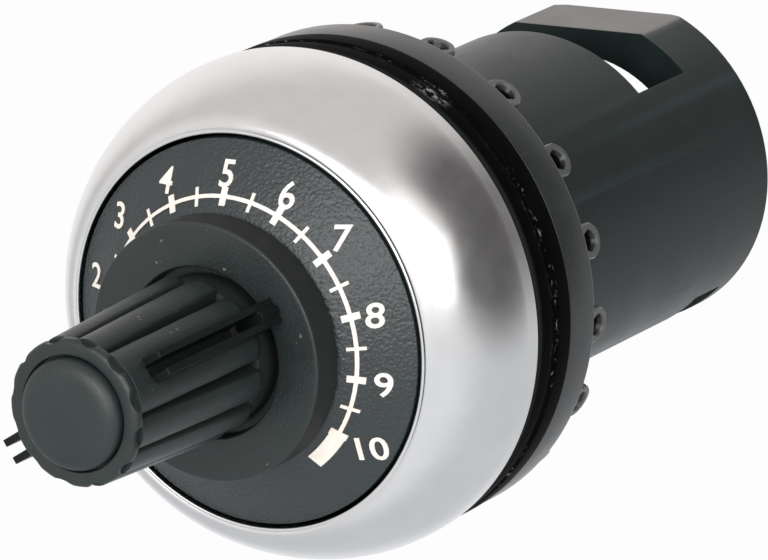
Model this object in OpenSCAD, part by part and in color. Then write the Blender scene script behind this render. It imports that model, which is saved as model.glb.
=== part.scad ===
// Panel-mounted rotary potentiometer for a round 22.5 mm hole.
// The shaft axis is Y: the knob looks towards -Y and the wiring end towards +Y.
// The origin is the centre of the panel seat, and scale value 5 stands at +Z.
// Clock angles are counted from +Z, clockwise as seen from the front. All sizes in mm.

/* [Panel seat] */
// Diameter of the panel hole that the collar passes through
panel_hole_d = 22.5; // [22.3:0.1:22.8]
// Radial clearance between the threaded collar and the panel hole
hole_clearance = 0.15; // [0.1:0.05:0.25]
// Length of the threaded collar behind the panel seat
collar_len = 8.6; // [7.6:0.2:9.6]
// Pitch of the ridges that stand for the collar's thread
thread_pitch = 1.5; // [1.2:0.1:1.8]
// Depth of the grooves between those ridges
thread_depth = 0.45; // [0.3:0.05:0.5]
// Thickness of the rubber gasket
gasket_t = 1.9; // [1.5:0.1:2.3]
// Outer diameter of the gasket
gasket_d = 29.4; // [28.6:0.2:29.6]
// Reach of the gasket's rim round the flange
gasket_wrap = 1.6; // [1.2:0.1:1.7]
// Thickness of the gasket's rim round the flange
gasket_rim = 0.75; // [0.6:0.05:1.0]

/* [Ring nut] */
// Outer diameter of the ring nut
nut_d = 29.3; // [28.3:0.2:30.3]
// Thickness of the ring nut without its lugs
nut_t = 2.8; // [2.2:0.2:3.4]
// Radial running clearance between nut and collar
thread_clearance = 0.05; // [0.03:0.01:0.09]
// Number of lugs round the back of the nut
lug_count = 18; // [12:1:20]
// Width of one lug round the nut
lug_w = 2.1; // [1.8:0.1:2.4]
// Reach of a lug behind the nut
lug_reach = 1.85; // [1.5:0.05:2.2]
// Thickness of a lug towards the axis
lug_t = 1.5; // [1.2:0.1:1.8]
// Distance from the nut's outer face down to the top of a lug
lug_drop = 0.35; // [0.2:0.05:0.6]
// Diameter of the eye through a lug
eye_d = 0.8; // [0.5:0.1:1.0]

/* [Front ring] */
// Outer diameter of the front ring
ring_d = 29.7; // [29.3:0.1:30.5]
// Height of the front ring over the flange
ring_h = 6.95; // [6.3:0.05:7.6]
// Diameter of the inner lip that frames the dial
lip_d = 23.0; // [22.4:0.1:23.4]
// Straight band at the back of the front ring
ring_band = 0.95; // [0.6:0.05:1.3]
// Rise of the rolled front edge over the dial's edge
ring_proud = 0.2; // [0.1:0.05:0.4]
// Fullness of the rolled profile, 2 is a plain quarter ellipse
ring_fullness = 1.6; // [1.5:0.1:2.2]
// Width of the flat valley between the lip and the rolled edge
lip_valley = 0.35; // [0.2:0.05:0.6]
// Wall of the front ring
ring_wall = 0.9; // [0.7:0.05:1.1]

/* [Front housing] */
// Outer diameter of the flange under the front ring
flange_d = 29.2; // [28.6:0.1:29.3]
// Thickness of the flange
flange_t = 1.9; // [1.5:0.1:2.3]
// Wall of the drum that carries the dial
drum_wall = 1.8; // [1.4:0.1:2.2]
// Outer diameter of the hub round the shaft
hub_d = 8.6; // [8.0:0.2:9.2]
// Number of ribs between hub and drum
rib_count = 6; // [4:1:8]
// Thickness of a rib
rib_t = 1.2; // [0.9:0.1:1.5]

/* [Dial] */
// Slope of the conical dial plate, in degrees
dial_slope = 28.6; // [25:0.2:31]
// Thickness of the dial plate along the axis
dial_t = 0.6; // [0.5:0.05:0.8]
// Diameter of the flat middle of the dial plate
dial_flat_d = 14.4; // [13.8:0.2:14.8]
// Shadow gap between dial plate and lip
dial_play = 0.22; // [0.1:0.02:0.3]
// Radius of the scale's arc line
arc_r = 8.32; // [8.2:0.02:8.6]
// Width of the arc line
arc_w = 0.2; // [0.15:0.01:0.3]
// Angle from scale value 0 to scale value 10
scale_sweep = 251; // [240:1:262]
// Length of a whole-number tick
tick_len = 0.95; // [0.8:0.05:1.2]
// Width of a whole-number tick
tick_w = 0.4; // [0.3:0.02:0.5]
// Length of a half-number tick
half_len = 1.0; // [0.8:0.05:1.2]
// Width of a half-number tick
half_w = 0.2; // [0.15:0.01:0.3]
// Angle covered by the thick bar past value 10
bar_sweep = 17; // [12:1:20]
// Width of the thick bar
bar_w = 0.85; // [0.6:0.05:1.0]
// Thickness of the printed marks
print_t = 0.06; // [0.04:0.01:0.08]

/* [Knob] */
// Clock angle of the pointer as the object stands
pointer_clock = -121; // [-130:1:130]
// Diameter of the skirt
skirt_d = 15.04; // [14.6:0.04:15.2]
// Thickness of the skirt
skirt_t = 2.0; // [1.8:0.1:2.3]
// Gap between the skirt and the dial plate
skirt_gap = 0.3; // [0.25:0.01:0.4]
// Height of the knob over the skirt
knob_h = 13.05; // [12.2:0.05:14]
// Diameter over the petals at the skirt end
petal_base_d = 9.5; // [9.3:0.1:9.9]
// Diameter over the petals at the front end
petal_front_d = 8.6; // [8.5:0.1:8.8]
// Radius of one rounded petal
petal_r = 1.3; // [1.2:0.05:1.4]
// Height of the waist between petals and skirt
waist_h = 0.9; // [0.7:0.05:1.2]
// Diameter of the waist
waist_d = 8.7; // [8.5:0.1:8.9]
// Outer diameter of the moat in the skirt round the waist
moat_d = 9.95; // [9.7:0.05:10.2]
// Depth of the moat
moat_depth = 1.0; // [0.7:0.05:1.1]
// Height of the scalloped collar at the front
rim_h = 0.6; // [0.55:0.05:0.8]
// Diameter of the scalloped collar
rim_d = 8.68; // [8.6:0.04:8.9]
// Depth of one scallop in the collar
scallop_depth = 0.29; // [0.2:0.01:0.34]
// Width at the mouth of the grooves between petals
groove_w = 0.75; // [0.55:0.05:0.9]
// Floor radius of the grooves between petals
groove_r = 3.7; // [3.65:0.05:3.8]
// Thickness of each pointer wing
wing_t = 0.42; // [0.36:0.02:0.5]
// Gap between the two wings of a pair
wing_gap = 0.66; // [0.56:0.02:0.76]
// Reach of the wings from the axis at the front
wing_front_r = 5.74; // [5.4:0.02:5.9]
// Reach of the wings from the axis at the skirt
wing_base_r = 5.95; // [5.75:0.05:6.2]
// Length of the pointed toe at the foot of the wings
toe_len = 1.8; // [1.4:0.1:2.2]
// Diameter of the domed cap
cap_d = 6.8; // [6.6:0.05:6.9]
// Rise of the cap over the collar
cap_rise = 0.83; // [0.5:0.01:1.0]
// Width of the groove round the cap
cap_groove_w = 0.2; // [0.15:0.05:0.25]
// Depth of the groove round the cap
cap_groove_h = 0.45; // [0.35:0.05:0.55]

/* [Shaft and collet] */
// Diameter of the shaft
shaft_d = 4.0; // [3.8:0.05:4.1]
// Radial running clearance of the shaft in its bush
shaft_clearance = 0.03; // [0.02:0.01:0.06]
// Radial clearance of the shaft where it only passes through
shaft_pass = 0.35; // [0.3:0.05:0.45]
// Outer diameter of the collet
collet_d = 5.8; // [5.7:0.05:5.9]
// Length of the collet's gripping part
collet_grip = 10.4; // [9.6:0.2:10.8]
// Width of the slits in the collet
collet_slit = 0.5; // [0.4:0.05:0.6]
// Diameter of the collet nut
collet_nut_d = 6.4; // [6.3:0.05:6.5]
// Thickness of the collet nut
collet_nut_t = 1.8; // [1.6:0.1:1.9]
// Diameter of the collet's threaded end
collet_thread_d = 4.9; // [4.8:0.05:5.1]

/* [Rear housing] */
// Outer diameter of the rear housing
body_d = 19.94; // [19.7:0.02:20]
// Wall of the rear housing
body_wall = 1.17; // [1.05:0.03:1.25]
// Reach of the rear housing behind the panel seat
body_len = 30.7; // [29.5:0.05:32]
// Distance from the panel seat to the wiring slot
slot_y = 20.65; // [20.4:0.05:21.2]
// Width of the wiring slot along the axis
slot_w = 5.2; // [4.8:0.1:5.6]
// Half of the angle that the wiring slot takes out
slot_half_angle = 46.4; // [42:0.4:50]
// Height of the flat on the rear ring over the axis
flat_z = 8.95; // [8.6:0.05:9.3]
// Bore of the rear ring
rear_bore_d = 14.7; // [14.2:0.1:15]
// Half of the angle that the window at the bottom takes out
window_half_angle = 44; // [40:1:48]
// Distance from the window to the rear end
window_back = 1.35; // [1.1:0.05:1.6]
// Width of the window along the axis
window_w = 2.9; // [2.6:0.1:3.1]
// Thickness of the wall between the element and the wiring space
bulkhead_t = 1.6; // [1.3:0.1:1.9]

/* [Resistance element] */
// Diameter of the metal case
case_d = 16.0; // [15.8:0.05:16.1]
// Depth of the metal case
case_depth = 7.8; // [7.4:0.1:8.0]
// Wall of the metal case
case_wall = 0.5; // [0.4:0.05:0.6]
// Thickness of the plate that the element hangs on
mount_plate_t = 1.6; // [1.3:0.1:1.9]
// Diameter of the threaded bush
bush_d = 7.0; // [6.6:0.1:7.2]
// Length of the threaded bush
bush_len = 8.1; // [7.8:0.1:8.5]
// Width of the bush nut across its flats
bush_nut_af = 10; // [9.6:0.1:10.4]
// Thickness of the bush nut
bush_nut_t = 2.0; // [1.8:0.1:2.2]
// Thickness of the lock washer
washer_t = 0.3; // [0.2:0.05:0.4]
// Thickness of the insulating track plate
track_plate_t = 1.4; // [1.2:0.1:1.5]
// Middle radius of the resistive track
track_r = 5.7; // [5.5:0.05:5.9]
// Width of the resistive track
track_w = 1.4; // [1.2:0.1:1.5]
// Thickness of the track and of the collector ring
track_t = 0.06; // [0.05:0.01:0.08]
// Middle radius of the collector ring
collector_r = 3.0; // [2.9:0.05:3.1]
// Width of the collector ring
collector_w = 1.0; // [0.8:0.05:1.1]
// Diameter of the wiper carrier
carrier_d = 13.8; // [13.4:0.1:14.2]
// Thickness of the wiper carrier
carrier_t = 1.8; // [1.6:0.1:1.9]
// Half angle of the carrier's stop lug
stop_half_angle = 25; // [22:1:27]
// Turning angle from one end stop to the other
turn_range = 260; // [250:1:264]
// Gap between the wiper's tips and the tracks
contact_gap = 0.04; // [0.03:0.01:0.06]

/* [Terminals] */
// Distance between neighbouring terminals
terminal_pitch = 4.0; // [3.8:0.1:4.4]
// Width of a terminal blade
blade_w = 2.8; // [2.6:0.1:3.0]
// Thickness of a terminal blade
blade_t = 0.5; // [0.4:0.05:0.6]
// Height of the blades over the axis
blade_z = 2.4; // [2.2:0.1:2.8]
// Distance from a blade's tip to the rear ring
blade_back = 0.85; // [0.7:0.05:1.2]
// Diameter of the solder eye in a blade
solder_eye_d = 1.3; // [1.1:0.1:1.4]
// Diameter of a rivet
rivet_d = 1.5; // [1.3:0.1:1.6]
// Diameter of a rivet's head
rivet_head_d = 2.1; // [1.9:0.1:2.2]

/* [Hidden] */
$fn = 96;
eps = 0.01;
fit = 0.05;

// Radii
collar_r = panel_hole_d / 2 - hole_clearance;
nut_bore_r = collar_r + thread_clearance;
shaft_r = shaft_d / 2;
bore_r = shaft_r + shaft_pass;
body_r = body_d / 2;
body_bore_r = body_r - body_wall;
case_r = case_d / 2;
case_bore_r = case_r - case_wall;
element_bore_r = case_r + 0.3;
plate_r = lip_d / 2 - dial_play;
thread_root_r = collar_r - thread_depth;
thread_count = floor((collar_len - 0.8) / thread_pitch);
wrap_r = gasket_d / 2 - gasket_rim;
drum_r = plate_r - fit;
dial_flat_r = dial_flat_d / 2;
skirt_r = skirt_d / 2;
rear_bore_r = rear_bore_d / 2;
bush_r = bush_d / 2;

// Stations along the axis, from the front of the object to its back
flange_back = -gasket_t;
flange_front = flange_back - flange_t;
wrap_front = flange_back - gasket_wrap;
lip_y = flange_front - ring_h;
dial_rise = tan(dial_slope);
dial_flat_y = lip_y - (lip_d / 2 - dial_flat_r) * dial_rise;
dial_under_y = dial_flat_y + dial_t;
seal_back = dial_under_y + 1.6;
skirt_under = dial_flat_y - skirt_gap;
skirt_front = skirt_under - skirt_t;
petal_base = skirt_front - waist_h;
knob_front = skirt_front - knob_h;
rim_base = knob_front + rim_h;
cap_recess = 1.45;
collet_seat = knob_front + cap_recess + collet_nut_t + 0.2;

body_front = flange_back + 1.2;
ring_y = slot_y + slot_w;
bulkhead_back = slot_y - 1.0;
bulkhead_front = bulkhead_back - bulkhead_t;
element_back = bulkhead_front - 1.2;
case_front = element_back - case_depth;
plate_front = case_front - mount_plate_t;
washer_front = plate_front - washer_t;
bush_front = case_front + case_wall - bush_len;
track_face = element_back - track_plate_t;
wiper_tip = track_face - track_t - contact_gap;
carrier_back = wiper_tip - 1.9;
carrier_front = carrier_back - carrier_t;

unit_angle = scale_sweep / 10;
terminal_x = [-terminal_pitch, 0, terminal_pitch];
rivet_z = blade_z + 2.1;
track_end_clock = atan2(terminal_pitch, rivet_z) - 2;
knob_bore_r = collet_d / 2 + fit;
cap_r = cap_d / 2;
stop_gap_angle = 1;
wing_offset = (wing_gap + wing_t) / 2;

// Turned form from [radius, y] points about the shaft axis
module turned(points) {
    rotate([-90, 0, 0]) rotate_extrude() polygon(points);
}

// Turned form that runs only from one clock angle to another
module turned_arc(points, from_clock, to_clock) {
    rotate([-90, 0, 0])
        rotate([0, 0, from_clock - 90])
            rotate_extrude(angle = to_clock - from_clock) polygon(points);
}

// Round bar along the axis, from y0 to y1
module bar(r, y0, y1) {
    translate([0, y0, 0]) rotate([-90, 0, 0]) cylinder(r = r, h = y1 - y0);
}

// Copies at a list of clock angles of what is drawn at the top
module at_clocks(clocks) {
    for (c = clocks) rotate([0, c, 0]) children();
}

// Block between two opposite corners
module block(low, high) {
    translate(low) cube(high - low);
}

// Point of a quadratic curve through a start, towards a corner, to an end
function curve_point(a, corner, b, t) =
    (1 - t) * (1 - t) * a + 2 * t * (1 - t) * corner + t * t * b;

// Height of the dial's front face at a radius outside its flat
function dial_y(r) = lip_y - (lip_d / 2 - r) * dial_rise;

// Outline of the grooves between the ridges of the collar's thread
function collar_ridges() = [
    for (i = [0:thread_count - 1])
        let (y = 0.3 + i * thread_pitch)
            for (q = [[0, 0.1], [1, 0.42], [1, 0.55], [0, 0.87]])
                [collar_r - q[0] * thread_depth, y + q[1] * thread_pitch]
];

module front_housing() {
    color([0.10, 0.11, 0.11]) {
        difference() {
            turned(concat([
                [bore_r, dial_under_y],
                [hub_d / 2, dial_under_y],
                [hub_d / 2, flange_front],
                [drum_r - drum_wall, flange_front],
                [drum_r - drum_wall, dial_y(drum_r - drum_wall) + dial_t],
                [drum_r, dial_y(drum_r) + dial_t],
                [drum_r, flange_front],
                [flange_d / 2 - 0.1, flange_front],
                [flange_d / 2, flange_front + 0.1],
                [flange_d / 2, wrap_front],
                [wrap_r - fit, wrap_front],
                [wrap_r - fit, flange_back],
                [collar_r, flange_back],
            ], collar_ridges(), [
                [collar_r, collar_len - 0.5],
                [collar_r - 0.5, collar_len],
                [body_r + fit, collar_len],
                [body_r + fit, body_front],
                [bore_r, body_front],
            ]));
            // seat of the shaft seal
            bar(shaft_r + 1.6, dial_under_y - eps, seal_back);
        }
        // ribs between hub and drum
        at_clocks([for (i = [0:rib_count - 1]) i * 360 / rib_count])
            block([-rib_t / 2, dial_y(drum_r - drum_wall) + dial_t + 1.2, hub_d / 2 - 0.3],
                  [rib_t / 2, flange_front + eps, drum_r - drum_wall + 0.3]);
        // snap hooks inside the collar
        for (c = [60, 180, 300])
            turned_arc([
                [body_r + fit + 0.2, 4.0],
                [body_r + fit + 0.2, 6.4],
                [body_r - 0.35, 4.4],
                [body_r - 0.35, 4.0],
            ], c - 9, c + 9);
    }
}

module bezel_ring() {
    crest_r = lip_d / 2 + lip_valley;
    shoulder_y = flange_front - ring_band;
    width = ring_d / 2 - crest_r;
    rise = shoulder_y - lip_y + ring_proud;
    power = 2 / ring_fullness;
    steps = 18;
    color([0.78, 0.79, 0.80])
        turned(concat(
            [
                [lip_d / 2, lip_y + dial_t + 0.1],
                [lip_d / 2, lip_y - ring_proud * 0.6],
                [lip_d / 2 + 0.06, lip_y - ring_proud],
                [lip_d / 2 + 0.14, lip_y - ring_proud],
                [lip_d / 2 + 0.24, lip_y - ring_proud * 0.6],
            ],
            [for (i = [0:steps])
                let (a = 90 - 90 * i / steps)
                    [crest_r + width * pow(cos(a), power), shoulder_y - rise * pow(sin(a), power)]],
            [
                [ring_d / 2, flange_front],
                [ring_d / 2 - ring_wall, flange_front],
                [ring_d / 2 - ring_wall, flange_front - ring_band - 0.6],
                [lip_d / 2 + 1.0, lip_y + dial_t + 0.6],
                [lip_d / 2 + 0.4, lip_y + dial_t + 0.1],
            ]
        ));
}

module scale_plate() {
    color([0.13, 0.14, 0.14])
        turned([
            [bore_r + 0.2, dial_flat_y],
            [dial_flat_r, dial_flat_y],
            [plate_r, dial_y(plate_r)],
            [plate_r, dial_y(plate_r) + dial_t],
            [dial_flat_r, dial_under_y],
            [bore_r + 0.2, dial_under_y],
        ]);
}

// Thin skin on the dial's cone between two radii
module dial_skin(r0, r1) {
    turned([
        [r0, dial_y(r0)],
        [r1, dial_y(r1)],
        [r1, dial_y(r1) - print_t],
        [r0, dial_y(r0) - print_t],
    ]);
}

// Thin skin on the dial's cone between two radii and two clock angles
module dial_skin_arc(r0, r1, from_clock, to_clock) {
    turned_arc([
        [r0, dial_y(r0)],
        [r1, dial_y(r1)],
        [r1, dial_y(r1) - print_t],
        [r0, dial_y(r0) - print_t],
    ], from_clock, to_clock);
}

// One tick across the arc line
module tick(length, width) {
    intersection() {
        dial_skin(arc_r - length / 2, arc_r + length / 2);
        block([-width / 2, dial_flat_y - 1, 0], [width / 2, lip_y + 1, arc_r + length]);
    }
}

module scale_marks() {
    half_sweep = scale_sweep / 2;
    color([0.93, 0.90, 0.86]) {
        // the arc line ends inside the bar, which starts under the last tick
        dial_skin_arc(arc_r - arc_w / 2, arc_r + arc_w / 2, -half_sweep, half_sweep + 3);
        at_clocks([for (i = [0:10]) i * unit_angle - half_sweep]) tick(tick_len, tick_w);
        at_clocks([for (i = [0:9]) (i + 0.5) * unit_angle - half_sweep]) tick(half_len, half_w);
        dial_skin_arc(arc_r - bar_w / 2, arc_r + bar_w / 2, half_sweep + 0.6, half_sweep + bar_sweep);
    }
}

module panel_gasket() {
    color([0.03, 0.03, 0.03])
        turned([
            [collar_r + fit, flange_back],
            [wrap_r, flange_back],
            [wrap_r, wrap_front],
            [gasket_d / 2 - 0.15, wrap_front],
            [gasket_d / 2, wrap_front + 0.15],
            [gasket_d / 2, wrap_front / 2 - 0.35],
            [gasket_d / 2 - 0.15, wrap_front / 2 - 0.2],
            [gasket_d / 2 - 0.15, wrap_front / 2 + 0.2],
            [gasket_d / 2, wrap_front / 2 + 0.35],
            [gasket_d / 2, -0.15],
            [gasket_d / 2 - 0.15, 0],
            [collar_r + fit, 0],
        ]);
}

// Half-round lug with its dished eye, drawn at the top of the nut
module nut_lug() {
    lug_top = nut_d / 2 - lug_drop;
    round_y = nut_t + lug_reach - lug_w / 2;
    difference() {
        union() {
            block([-lug_w / 2, nut_t - 0.3, lug_top - lug_t], [lug_w / 2, round_y, lug_top]);
            translate([0, round_y, lug_top - lug_t]) cylinder(d = lug_w, h = lug_t);
        }
        translate([0, round_y, lug_top - lug_t - 1]) cylinder(d = eye_d, h = lug_t + 2);
        translate([0, round_y, lug_top - 0.35]) cylinder(d = lug_w * 0.66, h = 1);
    }
}

module ring_nut() {
    color([0.22, 0.23, 0.24]) {
        turned([
            [nut_bore_r, 0.3],
            [nut_bore_r + 0.3, 0],
            [nut_d / 2 - 0.1, 0],
            [nut_d / 2, 0.1],
            [nut_d / 2, nut_t - 0.25],
            [nut_d / 2 - 0.25, nut_t],
            [nut_bore_r + 0.3, nut_t],
            [nut_bore_r, nut_t - 0.3],
        ]);
        at_clocks([for (i = [0:lug_count - 1]) 18 + i * 360 / lug_count]) nut_lug();
    }
}

// Wedge of the axis between two clock angles and two stations
module wedge(from_clock, to_clock, y0, y1, reach) {
    steps = 4;
    step = (to_clock - from_clock) / steps;
    translate([0, y0, 0])
        rotate([-90, 0, 0])
            linear_extrude(height = y1 - y0)
                polygon(concat([[0, 0]], [
                    for (i = [0:steps])
                        let (c = from_clock + i * step)
                            reach * [sin(c), -cos(c)]
                ]));
}

module rear_housing() {
    color([0.14, 0.15, 0.15])
        difference() {
            turned([
                [body_bore_r, body_front],
                [body_r - 0.3, body_front],
                [body_r, body_front + 0.3],
                [body_r, body_len - 0.3],
                [body_r - 0.3, body_len],
                [rear_bore_r + 0.4, body_len],
                [rear_bore_r, body_len - 0.4],
                [rear_bore_r, ring_y],
                [body_bore_r, ring_y],
                [body_bore_r, bulkhead_back],
                [0, bulkhead_back],
                [0, bulkhead_front],
                [element_bore_r, bulkhead_front],
                [element_bore_r, case_front],
                [body_bore_r, case_front],
            ]);
            // wiring slot across the top
            wedge(-slot_half_angle, slot_half_angle, slot_y, ring_y, 2 * body_r);
            // flat on the rear ring
            block([-body_r, ring_y - eps, flat_z], [body_r, body_len + 1, body_r + 1]);
            // window under the rear ring
            wedge(180 - window_half_angle, 180 + window_half_angle,
                  body_len - window_back - window_w, body_len - window_back, 2 * body_r);
            // passages for the terminal blades
            for (x = terminal_x)
                block([x - blade_w / 2 - 0.15, bulkhead_front - 1, blade_z - 0.15],
                      [x + blade_w / 2 + 0.15, bulkhead_back + 1, blade_z + blade_t + 0.15]);
            // recesses that the snap hooks fall into
            for (c = [60, 180, 300])
                turned_arc([
                    [body_r + 0.5, 3.85],
                    [body_r + 0.5, 6.6],
                    [body_r - 0.45, 6.6],
                    [body_r - 0.45, 3.85],
                ], c - 10, c + 10);
        }
}

module mounting_plate() {
    color([0.62, 0.63, 0.62])
        turned([
            [bush_r + fit, plate_front],
            [body_bore_r - fit, plate_front],
            [body_bore_r - fit, case_front],
            [bush_r + fit, case_front],
        ]);
}

module pot_bush() {
    inner = shaft_r + shaft_clearance;
    color([0.72, 0.60, 0.34])
        turned([
            [inner, bush_front],
            [bush_r - 0.3, bush_front],
            [bush_r, bush_front + 0.3],
            [bush_r, case_front + case_wall],
            [bush_r + 1.1, case_front + case_wall],
            [bush_r + 1.1, case_front + case_wall + 0.6],
            [inner, case_front + case_wall + 0.6],
        ]);
}

module bush_washer() {
    color([0.66, 0.67, 0.68])
        difference() {
            bar(bush_nut_af / 2 + 0.4, washer_front, plate_front);
            bar(bush_r + fit, washer_front - 1, plate_front + 1);
            // split of the spring washer
            block([-0.25, washer_front - 1, 0], [0.25, plate_front + 1, bush_nut_af]);
        }
}

module bush_nut() {
    color([0.70, 0.71, 0.72])
        difference() {
            translate([0, washer_front - bush_nut_t, 0])
                rotate([-90, 0, 0])
                    cylinder(r = bush_nut_af / sqrt(3), h = bush_nut_t, $fn = 6);
            bar(bush_r + fit, washer_front - bush_nut_t - 1, washer_front + 1);
        }
}

module pot_case() {
    stop_clear = turn_range / 2 + stop_half_angle + stop_gap_angle;
    color([0.74, 0.73, 0.70]) {
        turned([
            [bush_r + fit, case_front],
            [case_r - 0.4, case_front],
            [case_r, case_front + 0.4],
            [case_r, element_back],
            [case_bore_r, element_back],
            [case_bore_r, case_front + case_wall],
            [bush_r + fit, case_front + case_wall],
        ]);
        // pressed-in end stop
        turned_arc([
            [5.2, case_front + case_wall - eps],
            [case_bore_r + 0.1, case_front + case_wall - eps],
            [case_bore_r + 0.1, carrier_front - 0.3],
            [5.2, carrier_front - 0.3],
        ], stop_clear, 360 - stop_clear);
    }
}

module track_plate() {
    color([0.55, 0.36, 0.20])
        difference() {
            bar(case_bore_r - fit, track_face, element_back);
            for (x = terminal_x)
                translate([x, 0, rivet_z]) bar(rivet_d / 2 + 0.02, track_face - 1, element_back + 1);
        }
}

module resistive_track() {
    color([0.07, 0.07, 0.08])
        turned_arc([
            [track_r - track_w / 2, track_face - track_t],
            [track_r + track_w / 2, track_face - track_t],
            [track_r + track_w / 2, track_face],
            [track_r - track_w / 2, track_face],
        ], track_end_clock, 360 - track_end_clock);
}

module collector_ring() {
    color([0.75, 0.76, 0.78])
        difference() {
            union() {
                bar(collector_r + collector_w / 2, track_face - track_t, track_face);
                block([-0.8, track_face - track_t, collector_r],
                      [0.8, track_face, rivet_z + 0.8]);
            }
            bar(collector_r - collector_w / 2, track_face - 1, track_face + 1);
        }
}

// Riveted pad and rearward blade of one terminal
module terminal(x) {
    blade_end = ring_y - blade_back;
    tip = 0.8;
    color([0.80, 0.80, 0.76])
        difference() {
            union() {
                block([x - blade_w / 2, element_back, blade_z],
                      [x + blade_w / 2, element_back + blade_t, rivet_z + 1.0]);
                translate([x, 0, blade_z])
                    linear_extrude(height = blade_t)
                        polygon([
                            [-blade_w / 2, element_back],
                            [blade_w / 2, element_back],
                            [blade_w / 2, blade_end - tip],
                            [blade_w / 2 - tip, blade_end],
                            [tip - blade_w / 2, blade_end],
                            [-blade_w / 2, blade_end - tip],
                        ]);
            }
            translate([x, 0, rivet_z]) bar(rivet_d / 2 + 0.02, element_back - 1, element_back + 1);
            translate([x, blade_end - 1.7, blade_z - 1]) cylinder(d = solder_eye_d, h = blade_t + 2);
        }
}

module terminal_rivets() {
    head_y = element_back + blade_t;
    color([0.80, 0.78, 0.70])
        for (x = terminal_x)
            translate([x, 0, rivet_z])
                difference() {
                    union() {
                        bar(rivet_d / 2, track_face, head_y + eps);
                        bar(rivet_head_d / 2, head_y, head_y + 0.35);
                    }
                    bar(rivet_d / 4, track_face - 1, head_y + 1);
                }
}

module shaft_seal() {
    inner = shaft_r + 0.02;
    outer = shaft_r + 1.55;
    color([0.05, 0.05, 0.05])
        turned([
            [inner, seal_back - 0.9],
            [inner + 0.5, seal_back - 1.5],
            [outer, seal_back - 1.5],
            [outer, seal_back],
            [inner + 0.5, seal_back],
            [inner, seal_back - 0.7],
        ]);
}

// Petal that stands at the top of the barrel, with a rounded foot
module petal() {
    foot = [petal_base - petal_r * 0.5, petal_base_d / 2 - petal_r];
    front = [rim_base, petal_front_d / 2 - petal_r];
    d = front - foot;
    translate([0, foot[0], foot[1]]) {
        rotate([atan2(-d[0], d[1]), 0, 0]) cylinder(r = petal_r, h = norm(d));
        sphere(r = petal_r);
    }
}

// Pair of wings with a channel between them, drawn at the top of the knob
module wing_pair() {
    for (side = [-1, 1])
        translate([side * wing_offset - wing_t / 2, 0, 0])
            rotate([90, 0, 90])
                linear_extrude(height = wing_t)
                    polygon([
                        [skirt_front + eps, groove_r],
                        [skirt_front + eps, wing_base_r],
                        [knob_front + 0.55, wing_front_r],
                        [knob_front + 0.3, wing_front_r - 0.25],
                        [knob_front + 0.3, groove_r],
                    ]);
    // pointed toe that closes the channel at the skirt
    translate([0, skirt_front - toe_len, 0])
        rotate([-90, 0, 0])
            linear_extrude(height = toe_len + eps)
                polygon([
                    [-wing_offset, -groove_r],
                    [wing_offset, -groove_r],
                    [wing_offset + wing_t / 2, -(wing_base_r - 0.35)],
                    [0, -(wing_base_r + 0.2)],
                    [-wing_offset - wing_t / 2, -(wing_base_r - 0.35)],
                ]);
}

module knob_solid() {
    petal_clocks = [for (i = [0:11]) 15 + i * 30];
    turned([
        [0, skirt_under],
        [dial_flat_r - 0.2, skirt_under],
        [skirt_r, dial_y(skirt_r) - skirt_gap],
        [skirt_r, skirt_front + 0.2],
        [skirt_r - 0.2, skirt_front],
        [moat_d / 2, skirt_front - 0.1],
        [moat_d / 2, skirt_front + moat_depth],
        [waist_d / 2, skirt_front + moat_depth],
        [waist_d / 2, petal_base - 0.2],
        [petal_base_d / 2 - 0.75, petal_base - 0.3],
        [petal_front_d / 2 - 0.55, rim_base],
        [petal_front_d / 2 - 0.55, rim_base - eps],
        [0, rim_base - eps],
    ]);
    at_clocks(petal_clocks) petal();
    // scalloped collar
    difference() {
        turned([
            [0, rim_base + 0.25],
            [rim_d / 2 - 0.3, rim_base + 0.25],
            [rim_d / 2, rim_base - 0.05],
            [rim_d / 2, knob_front + 0.3],
            [rim_d / 2 - 0.12, knob_front + 0.08],
            [rim_d / 2 - 0.35, knob_front],
            [0, knob_front],
        ]);
        at_clocks(petal_clocks)
            translate([0, 0, rim_d / 2 - scallop_depth + petal_r])
                bar(petal_r, knob_front - 1, rim_base + 1);
    }
    at_clocks([0, 180]) wing_pair();
}

module knob() {
    groove_clocks = [for (i = [1:5]) i * 30, for (i = [7:11]) i * 30];
    color([0.16, 0.18, 0.17])
        rotate([0, pointer_clock, 0])
            difference() {
                knob_solid();
                // V grooves between the petals
                at_clocks(groove_clocks)
                    translate([0, rim_base + 0.15, 0])
                        rotate([-90, 0, 0])
                            linear_extrude(height = petal_base - rim_base - 0.2)
                                polygon([
                                    [0, -groove_r],
                                    [groove_w / 2, -(petal_base_d / 2 + 0.3)],
                                    [-groove_w / 2, -(petal_base_d / 2 + 0.3)],
                                ]);
                // channels between the wings
                at_clocks([0, 180])
                    block([-wing_gap / 2, knob_front + 2.3, groove_r + 0.15],
                          [wing_gap / 2, skirt_front - toe_len, wing_base_r + 1]);
                at_clocks([0, 180])
                    block([-wing_gap / 2, knob_front - 1, rim_d / 2 - 0.05],
                          [wing_gap / 2, knob_front + 2.4, wing_base_r + 1]);
                // bore for the collet, seat of its nut and recess of the cap
                bar(knob_bore_r, knob_front - 1, skirt_under + 1);
                bar(collet_nut_d / 2 + fit, knob_front - 1, collet_seat);
                bar(cap_r + cap_groove_w, knob_front - 1, knob_front + cap_groove_h);
                // hollow under the skirt
                turned([
                    [moat_d / 2 + 0.5, skirt_under + 1],
                    [moat_d / 2 + 0.5, skirt_under - skirt_t * 0.45],
                    [skirt_r - 0.9, skirt_under - skirt_t * 0.45],
                    [skirt_r - 0.9, skirt_under + 1],
                ]);
            }
}

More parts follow.
